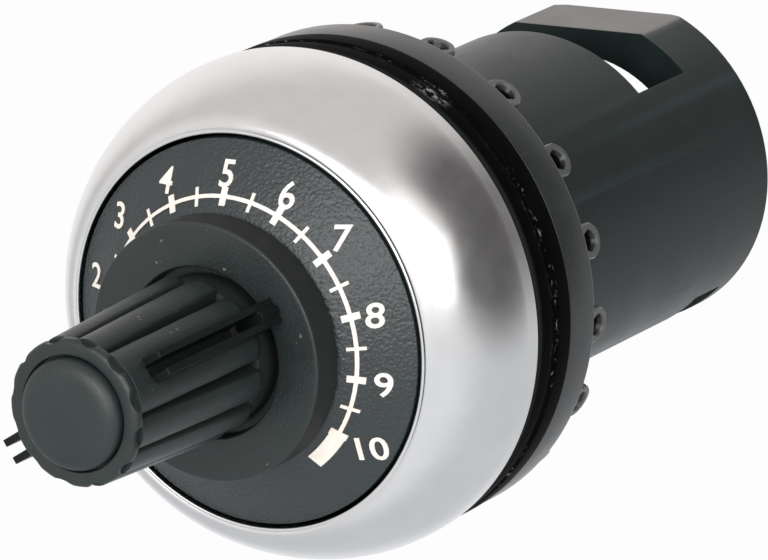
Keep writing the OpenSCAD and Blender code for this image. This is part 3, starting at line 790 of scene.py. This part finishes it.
@dataclass
class Stations:
    """Radii and stations along the shaft that several pieces share, read from the frame's solids."""

    ring_r: float
    flange_front: float
    gasket_r: float
    plate_r: float
    dial_flat_y: float
    knob_front: float
    cap_front: float
    body_r: float
    collar_end: float
    nut_r: float
    dial_slope: float = 28.6
    dial_flat_r: float = 7.2
    dial_t: float = 0.6
    lip_r: float = 11.5
    skirt_gap: float = 0.3
    skirt_t: float = 2.0
    waist_h: float = 0.9
    rim_h: float = 0.6
    pointer_clock: float = -121.0

    @classmethod
    def of_frame(cls) -> "Stations":
        """Reads the driving stations from the boxes of the frame's nodes.

        Returns:
            The stations, in millimetres.
        """
        def reach(node: str, axis: int, high: bool = True) -> float:
            """Highest or lowest reach of a node along an axis."""
            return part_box(node)[1 if high else 0][axis] / MM

        return cls(
            ring_r=reach("bezel_ring", 2),
            flange_front=reach("bezel_ring", 1),
            gasket_r=reach("panel_gasket", 2),
            plate_r=reach("scale_plate", 2),
            dial_flat_y=reach("scale_plate", 1, high=False),
            knob_front=reach("knob", 1, high=False),
            cap_front=reach("knob_cap", 1, high=False),
            body_r=reach("rear_housing", 0),
            collar_end=reach("front_housing", 1),
            nut_r=reach("ring_nut", 2),
        )

    @property
    def lip_y(self) -> float:
        """Station of the front ring's lip."""
        return self.dial_y(self.lip_r)

    @property
    def skirt_front(self) -> float:
        """Station of the skirt's front face."""
        return self.dial_flat_y - self.skirt_gap - self.skirt_t

    @property
    def petal_base(self) -> float:
        """Station at which the petals end towards the skirt."""
        return self.skirt_front - self.waist_h

    @property
    def rim_base(self) -> float:
        """Station at which the petals meet the scalloped collar."""
        return self.knob_front + self.rim_h

    def dial_y(self, r: float) -> float:
        """Station of the dial's front face at a radius."""
        return self.dial_flat_y + max(0.0, r - self.dial_flat_r) * math.tan(math.radians(self.dial_slope))


@dataclass
class FrontRing:
    """The domed metal ring round the dial."""

    at: Stations
    fullness: float = 1.6
    band: float = 0.95
    proud: float = 0.2
    valley: float = 0.35
    dip: float = 0.04
    chamfer: float = 0.08
    wall: float = 0.9
    steps: int = 44

    def profile(self) -> list[Point]:
        """Outline of the ring's section: lip bead, rolled dome, straight band and hollow back.

        Returns:
            The outline's (radius, y) points.
        """
        s = self.at
        crest, shoulder = s.lip_r + self.valley, s.flange_front - self.band
        rise, width = shoulder - s.lip_y + self.proud, s.ring_r - crest
        power = 2 / self.fullness
        inner, top = s.lip_r, s.lip_y - self.proud
        bead = [
            (inner, s.lip_y + 0.7), (inner, top + 0.10),
            *curve((inner + 0.01, top + 0.05), (inner + 0.05, top), (inner + 0.10, top), 4),
            *curve((inner + 0.12, top), (inner + 0.17, top), (inner + 0.22, top + self.dip), 4),
        ]
        roll = []
        for i in range(self.steps):
            a = math.radians(90 - 90 * i / self.steps)
            roll.append((crest + width * math.cos(a) ** power, shoulder - rise * math.sin(a) ** power))
        back = s.ring_r - self.wall
        return bead + roll + [
            (s.ring_r, shoulder),
            (s.ring_r, s.flange_front - self.chamfer),
            (s.ring_r - self.chamfer, s.flange_front),
            (back, s.flange_front),
            (back, s.flange_front - self.band - 0.6),
            (inner + 1.0, s.lip_y + 1.2),
            (inner + 0.4, s.lip_y + 0.7),
        ]

    def make(self, shop: Workshop) -> None:
        """Builds and dresses the ring.

        Args:
            shop: the materials.
        """
        shape = Shape()
        shape.lathe(self.profile(), 224)
        shop.dress(shape.finish("front_ring", "housing", ["bezel_ring"], sharp=40), FRONT_METAL)


@dataclass
class Dial:
    """The conical dial plate with its printed numerals."""

    at: Stations
    hole_r: float = 2.55
    edge: float = 0.06
    numeral_h: float = 1.44
    cap_share: float = 0.72
    numeral_stretch: float = 1.04
    stroke: float = 0.022
    print_t: float = 0.06
    sweep: float = 251.0
    middle: int = 5
    # the numerals stand upright, so each has its own radius and its own shift round the clock
    spots: tuple[Point, ...] = (
        (9.85, 0.0), (9.85, 0.0), (9.95, 0.0), (9.95, -1.0), (9.72, -1.3), (9.48, -0.4),
        (9.44, -0.7), (9.71, -1.5), (9.51, 1.5), (9.71, 0.7), (10.15, -0.8),
    )

    def make(self, shop: Workshop, nodes: Nodes) -> None:
        """Builds the plate and the numerals and dresses the printed marks.

        Args:
            shop: the materials.
            nodes: the frame's nodes.
        """
        s = self.at
        flat, edge = s.dial_y(0), s.dial_y(s.plate_r)
        shape = Shape()
        shape.lathe(rounded([
            (self.hole_r, flat), (s.dial_flat_r, flat), (s.plate_r, edge),
            (s.plate_r, edge + s.dial_t), (s.dial_flat_r, flat + s.dial_t), (self.hole_r, flat + s.dial_t),
        ], self.edge), 192)
        shop.dress(shape.finish("dial_plate", "housing", ["scale_plate"]), DIAL)
        shop.dress(nodes["scale_marks"], PRINT)
        for number in range(len(self.spots)):
            shop.dress(self.numeral(number), PRINT)

    def numeral(self, number: int) -> bpy.types.Object:
        """Lays one upright numeral on the cone.

        Args:
            number: the numeral.

        Returns:
            The numeral's piece.
        """
        s = self.at
        r, shift = self.spots[number]
        centre = about_shaft(r, 0, (number - self.middle) * self.sweep / (len(self.spots) - 1) + shift)
        text = bpy.data.curves.new(f"numeral_{number}", "FONT")
        text.body = str(number)
        text.size, text.offset = self.numeral_h / self.cap_share, self.stroke
        text.resolution_u, text.extrude = 4, self.print_t / 2
        source = linked(text.name, text)
        bpy.context.view_layer.update()
        mesh = bpy.data.meshes.new_from_object(source)
        bpy.data.objects.remove(source)
        shape = Shape()
        shape.bm.from_mesh(mesh)
        columns = [[v.co[axis] for v in shape.bm.verts] for axis in (0, 1)]
        mid_x, mid_y = ((min(column) + max(column)) / 2 for column in columns)
        for v in shape.bm.verts:
            x = centre.x + (v.co.x - mid_x) * self.numeral_stretch
            z = centre.z + v.co.y - mid_y
            lift = self.print_t if v.co.z > 0 else 0.0
            v.co = Vector((x, s.dial_y(math.hypot(x, z)) - lift, z))
        return shape.finish(f"numeral_{number}", "housing")


@dataclass
class Knob:
    """The fluted knob with its skirt, wings, scalloped collar and cap."""

    at: Stations
    petals: int = 12
    petal_steps: int = 24
    petal_rows: int = 22
    crowding: float = 0.09
    foot_reach: float = 1.1
    petal_r: float = 1.3
    base_r: float = 3.45
    front_r: float = 3.0
    core_base_r: float = 4.0
    core_front_r: float = 3.75
    groove_floor: float = 3.7
    groove_half: float = 0.58
    mouth_r: float = 5.05
    waist_r: float = 4.35
    moat_r: float = 4.975
    moat_depth: float = 1.0
    skirt_r: float = 7.52
    under_r: float = 7.0
    edge: float = 0.12
    wing_t: float = 0.42
    wing_gap: float = 0.66
    wing_floor: float = 0.15
    wing_lap: float = 0.3
    wing_front_r: float = 5.52
    wing_base_r: float = 5.95
    toe_len: float = 1.8
    toe_side: float = 0.35
    toe_tip: float = 0.17
    bridge: float = 2.3
    rim_r: float = 4.24
    rim_core_r: float = 3.7
    rim_end: float = 0.25
    rim_points: int = 288
    scallop: float = 0.23
    bore_r: float = 2.95
    seat_r: float = 3.1
    seat_depth: float = 0.45
    cap_r: float = 3.24
    cap_gap: float = 0.09
    cap_stem_r: float = 3.05
    cap_stem: float = 1.0
    cap_dome: float = 0.008

    @property
    def foot(self) -> float:
        """Station of the centre of a petal's rounded foot."""
        return self.at.petal_base - self.petal_r * 0.5

    def off_petal(self, clock: float) -> float:
        """Angle in radians from the middle of the nearest petal."""
        pitch = 360 / self.petals
        return math.radians(clock % pitch - pitch / 2)

    def barrel_radius(self, y: float, clock: float) -> float:
        """Radius of the fluted barrel.

        Args:
            y: the station.
            clock: degrees from the pointer.

        Returns:
            The radius.
        """
        s = self.at
        share = max(0.0, min(1.0, (self.foot - y) / (self.foot - s.rim_base)))
        centre = self.base_r + (self.front_r - self.base_r) * share
        size = self.petal_r if y <= self.foot else math.sqrt(max(0.0, self.petal_r**2 - (y - self.foot) ** 2))
        off = self.off_petal(clock)
        inside = size**2 - (centre * math.sin(off)) ** 2
        petal = centre * math.cos(off) + math.sqrt(inside) if inside > 0 else 0.0
        r = max(self.core_base_r + (self.core_front_r - self.core_base_r) * share, petal)
        delta = math.pi / self.petals - abs(off)
        if min(clock % 180, 180 - clock % 180) < 180 / self.petals:
            between = s.knob_front + self.bridge < y < s.skirt_front - self.toe_len
            if between and r * math.sin(delta) < self.wing_gap / 2:
                return min(r, (self.groove_floor + self.wing_floor) / math.cos(delta))
            return max(r, centre + size) if y < s.knob_front + self.bridge and 90 < clock < 270 else r
        slope = self.groove_half / (self.mouth_r - self.groove_floor)
        bottom = slope * math.cos(delta) - math.sin(delta)
        return min(r, slope * self.groove_floor / bottom) if bottom > 1e-4 else r

    def barrel(self, shape: Shape) -> None:
        """Adds the fluted barrel, closed at both ends down to the bore.

        Args:
            shape: the moulding.
        """
        s = self.at
        rows, steps = self.petal_rows, self.petal_steps
        stations = [s.rim_base + (self.foot - s.rim_base) * k / rows for k in range(rows + 1)]
        stations += [self.foot + self.foot_reach * math.sin(math.radians(9 * k)) for k in range(1, 11)]
        pitch, clocks = 360 / self.petals, []
        for petal in range(self.petals):
            for k in range(steps):
                t = k / steps
                clocks.append(pitch * (petal + t - math.sin(2 * math.pi * t) * self.crowding))
        rings = [[about_shaft(self.barrel_radius(y, c), y, c) for c in clocks] for y in stations]
        ends = [[about_shaft(self.bore_r, y, c) for c in clocks] for y in (stations[0], stations[-1])]
        shape.skin([ends[0], *rings, ends[1]])

    def collar(self, shape: Shape) -> None:
        """Adds the scalloped collar round the cap.

        Args:
            shape: the moulding.
        """
        front, base, opening = self.at.knob_front, self.at.rim_base, self.cap_r + self.cap_gap
        rim_r, core_r, depth = self.rim_r, self.rim_core_r, self.seat_depth
        rim = [
            (core_r, base + self.rim_end), (rim_r - 0.3, base + self.rim_end), (rim_r - 0.14, base + 0.09),
            (rim_r, base - 0.05), (rim_r, front + 0.34),
            *curve((rim_r - 0.02, front + 0.22), (rim_r - 0.10, front), (rim_r - 0.42, front), 6),
            (opening + 0.05, front), (opening, front + 0.05), (opening, front + depth), (self.seat_r, front + depth),
            (self.seat_r, front + 2 * depth), (core_r, front + 2 * depth),
        ]
        clocks = [360 * k / self.rim_points for k in range(self.rim_points)]
        shape.skin([[about_shaft(self.collar_radius(r, c), y, c) for c in clocks] for r, y in rim])

    def collar_radius(self, r: float, clock: float) -> float:
        """Radius of the collar, cut back where a scallop lies.

        Args:
            r: the radius without scallops.
            clock: degrees from the pointer.

        Returns:
            The radius.
        """
        off, centre = self.off_petal(clock), self.rim_r - self.scallop + self.petal_r
        inside = self.petal_r**2 - (centre * math.sin(off)) ** 2
        if r <= self.rim_core_r or inside <= 0:
            return r
        return min(r, centre * math.cos(off) - math.sqrt(inside))

    def wings(self, shape: Shape) -> None:
        """Adds both pairs of wings with their pointed toes.

        Args:
            shape: the wings' shape.
        """
        s = self.at
        back = s.skirt_front + 0.01
        inner, outer = (self.wing_gap + self.wing_t) / 2, self.wing_gap / 2 + self.wing_t
        front_r, side_r = self.wing_front_r, self.wing_base_r - self.toe_side
        tip_r = self.wing_base_r + self.toe_tip
        for clock, front in ((0.0, s.knob_front), (180.0, s.knob_front + self.bridge - self.wing_lap)):
            start = front + self.wing_lap
            for side in (-1, 1):
                x = side * inner - self.wing_t / 2
                outline = [
                    (x, back, self.groove_floor), (x, back, self.wing_base_r), (x, start + 0.15, front_r),
                    (x, start, front_r - 0.1), (x, start, self.groove_floor),
                ]
                shape.prism(outline, (self.wing_t, 0, 0), clock)
            toe = [
                (-inner, self.groove_floor), (inner, self.groove_floor), (outer, side_r), (0.1, tip_r), (-0.1, tip_r),
                (-outer, side_r),
            ]
            shape.prism([(x, s.skirt_front - self.toe_len, z) for x, z in toe], (0, self.toe_len + 0.01, 0), clock)

    def make(self, shop: Workshop) -> None:
        """Builds the moulding, its wings and its cap and dresses them.

        Args:
            shop: the materials.
        """
        s = self.at
        back, under, root = s.skirt_front, s.dial_flat_y - s.skirt_gap, s.petal_base - 0.3
        shape = Shape()
        shape.lathe(rounded([
            (self.bore_r, under), (self.under_r, under), (self.skirt_r, s.dial_y(self.skirt_r) - s.skirt_gap),
            (self.skirt_r, back + 0.05), (self.skirt_r - self.edge, back), (self.moat_r, back - 0.1),
            (self.moat_r, back + self.moat_depth), (self.waist_r, back + self.moat_depth),
            (self.waist_r, root + 0.1), (self.core_base_r, root), (self.bore_r, root),
        ], self.edge), 192)
        self.barrel(shape)
        self.collar(shape)
        moulding = shape.turned(s.pointer_clock).finish("knob_moulding", "turning_set", ["knob"], bevel=0.05, sharp=38)
        front_r, base_r = self.front_r + self.petal_r, self.base_r + self.petal_r
        taper = (base_r - front_r) / (self.foot - s.rim_base)
        # the knob's finish paints shade into the grooves and onto the skirt's wall
        groove_shaded_finish = replace(KNOB, wall_from=back + 0.1, barrel_from=s.rim_base, crest_r=front_r, taper=taper)
        shop.dress(moulding, groove_shaded_finish)
        pointer = Shape()
        self.wings(pointer)
        # the wings and toes get the darker plastic: painted shade
        shop.dress(pointer.turned(s.pointer_clock).finish("pointer_wings", "turning_set", bevel=0.03, sharp=38), WINGS_PAINTED_SHADE)
        shop.dress(self.cap(), CAP)

    def cap(self) -> bpy.types.Object:
        """Builds the raised cap with its rounded edge.

        Returns:
            The cap's piece.
        """
        front, top, r = self.at.knob_front, self.at.cap_front, self.cap_r
        seat, end = front + self.seat_depth, front + self.seat_depth + self.cap_stem
        edge = curve((r - 0.03, front - 0.05), (r - 0.06, top + 0.06), (r - 1.25, top + 0.03), 12)
        dome = Shape()
        dome.lathe([
            (0.0, end), (self.cap_stem_r, end), (self.cap_stem_r, seat), (r - 0.03, seat), *edge,
            (r - 2.1, top + self.cap_dome), (0.0, top),
        ], 128)
        return dome.turned(self.at.pointer_clock).finish("front_cap", "turning_set", ["knob_cap"])


@dataclass
class Collar:
    """The front housing with its flange, drum, hub and the thread of its collar."""

    at: Stations
    crest_r: float = 11.10
    root_r: float = 10.64
    pitch: float = 1.5
    seal_r: float = 2.35
    hub_r: float = 4.3
    drum_wall: float = 1.8
    flange_r: float = 14.6
    flange_t: float = 1.9
    step_r: float = 13.9
    step_y: float = -3.5
    ribs: int = 6
    rib_t: float = 1.2
    rib_drop: float = 1.2
    rib_sunk: float = 0.3

    def make(self, shop: Workshop) -> None:
        """Builds and dresses the front housing.

        Args:
            shop: the materials.
        """
        s = self.at
        shape = Shape()
        front, back, end = s.flange_front, s.flange_front + self.flange_t, s.collar_end
        r, under = s.plate_r - 0.05, s.dial_y(0) + s.dial_t
        inner = r - self.drum_wall
        shape.lathe([
            (self.seal_r, under), (self.hub_r, under), (self.hub_r, front), (inner, front),
            (inner, s.dial_y(inner) + s.dial_t), (r, s.dial_y(r) + s.dial_t), (r, front),
            (self.flange_r - 0.08, front), (self.flange_r, front + 0.06), (self.flange_r, self.step_y),
            (self.step_r, self.step_y), (self.step_r, back), (self.crest_r, back), (self.crest_r, 0.1),
            (self.root_r, 0.1), (self.root_r, end - 0.15), (self.root_r - 0.12, end), (s.body_r + 0.05, end),
            (s.body_r + 0.05, -0.7), (self.seal_r, -0.7),
        ], 192)
        self.thread(shape)
        low, half = s.dial_y(inner) + s.dial_t + self.rib_drop, self.rib_t / 2
        near, far = self.hub_r - self.rib_sunk, inner + self.rib_sunk
        rib = [(-half, low, near), (half, low, near), (half, low, far), (-half, low, far)]
        for k in range(self.ribs):
            shape.prism(rib, (0, front + 0.01 - low, 0), k * 360 / self.ribs)
        shop.dress(shape.finish("threaded_housing", "housing", ["front_housing"], sharp=28), HOUSING)

    def thread(self, shape: Shape) -> None:
        """Adds the helical ridge of the collar's thread, which fades in and out at its ends.

        Args:
            shape: the housing.
        """
        steps, fade = 128, 20
        half, top = self.pitch * 0.42, self.pitch * 0.12
        total = int((self.at.collar_end - 0.9) / self.pitch * steps)
        root = self.root_r - 0.02
        rings = []
        for k in range(total + 1):
            clock, y = 360 * k / steps, 0.35 + self.pitch * k / steps
            crest = self.root_r + (self.crest_r - self.root_r) * min(1.0, k / fade, (total - k) / fade)
            section = [(root, y - half), (crest, y - top), (crest, y + top), (root, y + half)]
            rings.append([about_shaft(r, min(station, self.at.collar_end - 0.05), clock) for r, station in section])
        shape.ribbon(rings)


@dataclass
class Clamping:
    """The gasket and the ring nut with its lugs."""

    at: Stations
    nut_t: float = 2.8
    bore_r: float = 11.15
    step_r: float = 13.95
    gasket_from: float = 0.3
    gasket_to: float = 1.9
    dent_depth: float = 0.13
    lugs: int = 18
    first_lug: float = 18.0
    lug_w: float = 2.1
    lug_reach: float = 1.85
    lug_t: float = 1.5
    lug_drop: float = 0.35
    eye_r: float = 0.5
    dish_r: float = 0.66
    dish_depth: float = 0.35

    def lug(self, shape: Shape, clock: float) -> None:
        """Adds a half-round lug with a dished eye.

        Args:
            shape: the nut.
            clock: the lug's clock angle.
        """
        half, top = self.lug_w / 2, self.at.nut_r - self.lug_drop
        low, mid, foot = top - self.lug_t, self.nut_t + self.lug_reach - half, self.nut_t - 0.25
        outline = [(half * math.cos(math.pi * k / 16), mid + half * math.sin(math.pi * k / 16)) for k in range(17)]
        outline += [(half * (k / 8 - 1), foot) for k in range(16)]

        def drawn_in(scale: float, z: float) -> list[Vector]:
            """The outline scaled about the eye's centre."""
            return [Vector((x * scale, mid + (y - mid) * scale, z)) for x, y in outline]

        def circle(r: float, z: float) -> list[Vector]:
            """A circle about the eye's centre with the outline's number of points."""
            angles = [math.atan2(y - mid, x) for x, y in outline]
            return [Vector((r * math.cos(a), mid + r * math.sin(a), z)) for a in angles]

        dish = self.dish_r
        shape.skin([
            drawn_in(0.94, low), drawn_in(1.0, low + 0.06), drawn_in(1.0, top - 0.10), drawn_in(0.93, top),
            circle(dish + 0.05, top), circle(dish, top - 0.05), circle(self.eye_r + 0.02, top - self.dish_depth),
            circle(self.eye_r, top - self.dish_depth - 0.04), circle(self.eye_r, low),
        ], clock)

    def make(self, shop: Workshop) -> None:
        """Builds and dresses the gasket and the nut.

        Args:
            shop: the materials.
        """
        s = self.at
        front, back = s.flange_front + self.gasket_from, s.flange_front + self.gasket_to
        middle, dent = front / 2, s.gasket_r - self.dent_depth
        gasket = Shape()
        gasket.lathe(rounded([
            (self.bore_r, back), (self.step_r, back), (self.step_r, front), (s.gasket_r, front),
            (s.gasket_r, middle - 0.35), (dent, middle - 0.15), (dent, middle + 0.15), (s.gasket_r, middle + 0.35),
            (s.gasket_r, 0.0), (self.bore_r, 0.0),
        ], 0.14), 192)
        shop.dress(gasket.finish("gasket", "housing", ["panel_gasket"], sharp=60), RUBBER)
        nut = Shape()
        nut.lathe(rounded([
            (self.bore_r, 0.3), (self.bore_r + 0.3, 0.0), (s.nut_r, 0.0), (s.nut_r, self.nut_t - 0.2),
            (s.nut_r - 0.25, self.nut_t), (self.bore_r + 0.3, self.nut_t), (self.bore_r, self.nut_t - 0.3),
        ], 0.1), 192)
        for k in range(self.lugs):
            self.lug(nut, self.first_lug + k * 360 / self.lugs)
        shop.dress(nut.finish("lugged_nut", "nut", ["ring_nut"], sharp=34), NUT)


@dataclass
class RearEnd:
    """The tubular rear housing."""

    edge: float = 0.12
    flat_angle: float = 0.5

    def make(self, shop: Workshop, nodes: Nodes) -> None:
        """Rounds the edges of the housing's solid and dresses it.

        Args:
            shop: the materials.
            nodes: the frame's nodes.
        """
        shape = Shape()
        shape.bm.from_mesh(nodes["rear_housing"].data)
        bmesh.ops.scale(shape.bm, vec=(1 / MM, 1 / MM, 1 / MM), verts=shape.bm.verts)
        bmesh.ops.remove_doubles(shape.bm, verts=shape.bm.verts, dist=1e-4)
        flat = math.radians(self.flat_angle)
        bmesh.ops.dissolve_limit(shape.bm, angle_limit=flat, verts=shape.bm.verts, edges=shape.bm.edges)
        tube = shape.finish("rear_tube", "housing", ["rear_housing"], bevel=self.edge, sharp=30)
        shop.dress(tube, HOUSING)


@dataclass
class Inside:
    """The pieces inside, which keep their solids."""

    finishes: dict[str, Finish] = field(default_factory=lambda: {
        "mounting_plate": PLATED, "pot_bush": BRASS, "bush_washer": PLATED, "bush_nut": PLATED, "pot_case": CASE,
        "track_plate": BOARD, "resistive_track": FILM, "collector_ring": SILVER, "terminal_1": TINNED,
        "terminal_2": TINNED, "terminal_3": TINNED, "terminal_rivets": BRASS, "shaft_seal": RUBBER, "collet": BRASS,
        "collet_nut": BRASS, "shaft": SHAFT, "shaft_clip": PLATED, "wiper_carrier": CARRIER, "wiper": BRASS,
    })

    def make(self, shop: Workshop, nodes: Nodes) -> None:
        """Dresses each inner piece."""
        for name, finish in self.finishes.items():
            shop.dress(nodes[name], finish)


# Camera, floor and light


def towards(azimuth: float, elevation: float) -> Vector:
    """Direction from the object to a place at an azimuth and elevation in degrees."""
    a, e = math.radians(azimuth), math.radians(elevation)
    return Vector((math.sin(a) * math.cos(e), -math.cos(a) * math.cos(e), math.sin(e)))


@dataclass(frozen=True)
class Glow:
    """A soft region of the surroundings that is lighter or darker than the rest."""

    azimuth: float
    elevation: float
    core: float
    fade: float
    change: float


class Surroundings(Tree):
    """The plain surroundings, white to the eye and softly uneven as light."""

    def __init__(self, level: float, glows: Sequence[Glow], white_share: float, warm: Colour, cool: Colour) -> None:
        """Builds the surroundings.

        Args:
            level: strength of the light where nothing changes it.
            glows: the lighter and darker regions.
            white_share: share of the white backdrop that reflections show.
            warm: tint of the light from above.
            cool: tint of the light from below.
        """
        super().__init__(bpy.data.worlds.new("surroundings"))
        bpy.context.scene.world = self.owner
        aim = self.vector("NORMALIZE", self.node("ShaderNodeTexCoord", out="Generated"))
        light = level
        for glow in glows:
            nearness = self.vector("DOT_PRODUCT", aim, tuple(towards(glow.azimuth, glow.elevation)), out="Value")
            edge, core = math.radians(glow.core + glow.fade), math.radians(glow.core)
            light = nearness.smooth(math.cos(edge), math.cos(core)) * glow.change + light
        rays = self.rays()
        seen = rays[Ray.CAMERA].most(rays[Ray.GLOSSY].most(rays[Ray.TRANSMISSION]) * white_share)
        strength = seen + light * (1 - seen)
        height = self.node("ShaderNodeSeparateXYZ", {}, {0: aim}, "Z")
        tint = self.blend(rays[Ray.CAMERA], self.blend(height.smooth(-0.5, 0.2), cool, warm), WHITE)
        backdrop = self.node("ShaderNodeBackground", {}, {"Color": tint, "Strength": strength})
        self.node("ShaderNodeOutputWorld", {}, {"Surface": backdrop})


@dataclass
class Studio:
    """Camera at the photograph's angle, pale floor and soft light."""

    azimuth: float = 33.22
    elevation: float = 15.35
    roll: float = -3.24
    distance: float = 500.0
    shift_right: float = 7.58
    shift_up: float = 2.88
    centre_y: float = -10.75
    lens: float = 415.97
    floor_z: float = -40.0
    floor_size: float = 8000.0
    floor_white: float = 0.94
    floor_colour: Colour = (0.86, 0.86, 0.86)
    level: float = 0.68
    white_share: float = 0.06
    glows: tuple[Glow, ...] = (
        Glow(35, -22, 34, 36, 0.24),
        Glow(119, 22, 21, 26, -0.62),
        Glow(-145, 3, 18, 40, 0.32),
        Glow(-35, 16, 12, 36, 0.18),
        Glow(72, 30, 12, 14, 0.80),
    )
    warm: Colour = (1.0, 0.965, 0.955)
    cool: Colour = (0.955, 0.97, 1.0)

    def camera(self) -> None:
        """Places the camera."""
        back = towards(self.azimuth, self.elevation)
        level_right = (-back).cross(Vector((0, 0, 1))).normalized()
        level_up = level_right.cross(-back)
        r = math.radians(self.roll)
        right = level_right * math.cos(r) + level_up * math.sin(r)
        up = level_up * math.cos(r) - level_right * math.sin(r)
        spot = back * self.distance + right * self.shift_right + up * self.shift_up + Vector((0, self.centre_y, 0))
        data = bpy.data.cameras.new("camera")
        data.sensor_width, data.lens = 36.0, self.lens
        data.clip_start, data.clip_end = 0.01, 10.0
        camera = linked("camera", data)
        camera.matrix_world = Matrix.Translation(spot * MM) @ Matrix((right, up, back)).transposed().to_4x4()
        bpy.context.scene.camera = camera

    def floor(self) -> None:
        """Lays the pale floor, which looks almost white and keeps the object's shadow."""
        half = self.floor_size / 2 * MM
        mesh = bpy.data.meshes.new("floor")
        corners = [(x, y, self.floor_z * MM) for x, y in ((-half, -half), (half, -half), (half, half), (-half, half))]
        mesh.from_pydata(corners, [], [range(4)])
        plane = linked("floor", mesh)
        m = Material("pale_floor")
        m.put(Base_Color=(*self.floor_colour, 1.0), Roughness=0.9, Specular_IOR_Level=0.1)
        rays = m.rays()
        seen = rays[Ray.CAMERA].most(rays[Ray.TRANSMISSION]) * self.floor_white
        white = m.node("ShaderNodeEmission", {}, {"Color": (*WHITE, 1.0), "Strength": 1.0})
        mix = m.node("ShaderNodeMixShader", {}, {0: seen, 1: m.surface, 2: white})
        m.feed(m.output.link, mix)
        mesh.materials.append(m.owner)
        plane.visible_glossy = False

    def lamp(self, name: str, azimuth: float, elevation: float, size: Point, power: float, far: float = 0.6) -> None:
        """Adds a soft lamp that looks at the object.

        Args:
            name: the lamp's name.
            azimuth: where it stands, counted as the camera's.
            elevation: its height in degrees.
            size: its width and height in metres.
            power: its power in watts.
            far: its distance in metres.
        """
        data = bpy.data.lights.new(name, "AREA")
        data.shape, data.energy = "RECTANGLE", power
        data.size, data.size_y = size
        lamp = linked(name, data)
        lamp.location = towards(azimuth, elevation) * far
        lamp.rotation_euler = towards(azimuth, elevation).to_track_quat("Z", "Y").to_euler()

    def make(self) -> None:
        """Builds the whole studio."""
        self.camera()
        self.floor()
        Surroundings(self.level, self.glows, self.white_share, self.warm, self.cool)
        self.lamp("soft_window", 32, 24, (1.5, 0.42), 2.8)
        self.lamp("bright_middle", 15, 16, (0.26, 0.26), 0.85)
        bpy.context.scene.view_settings.view_transform = "Standard"


def main() -> None:
    """Builds the dressed potentiometer in order."""
    logging.basicConfig(level=logging.INFO, format="%(name)s %(message)s")
    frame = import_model()
    nodes, shop, at = frame["nodes"], Workshop(), Stations.of_frame()
    FrontRing(at).make(shop)
    Dial(at).make(shop, nodes)
    Knob(at).make(shop)
    Collar(at).make(shop)
    Clamping(at).make(shop)
    RearEnd().make(shop, nodes)
    Inside().make(shop, nodes)
    Studio().make()


if __name__ == "__main__":
    main()
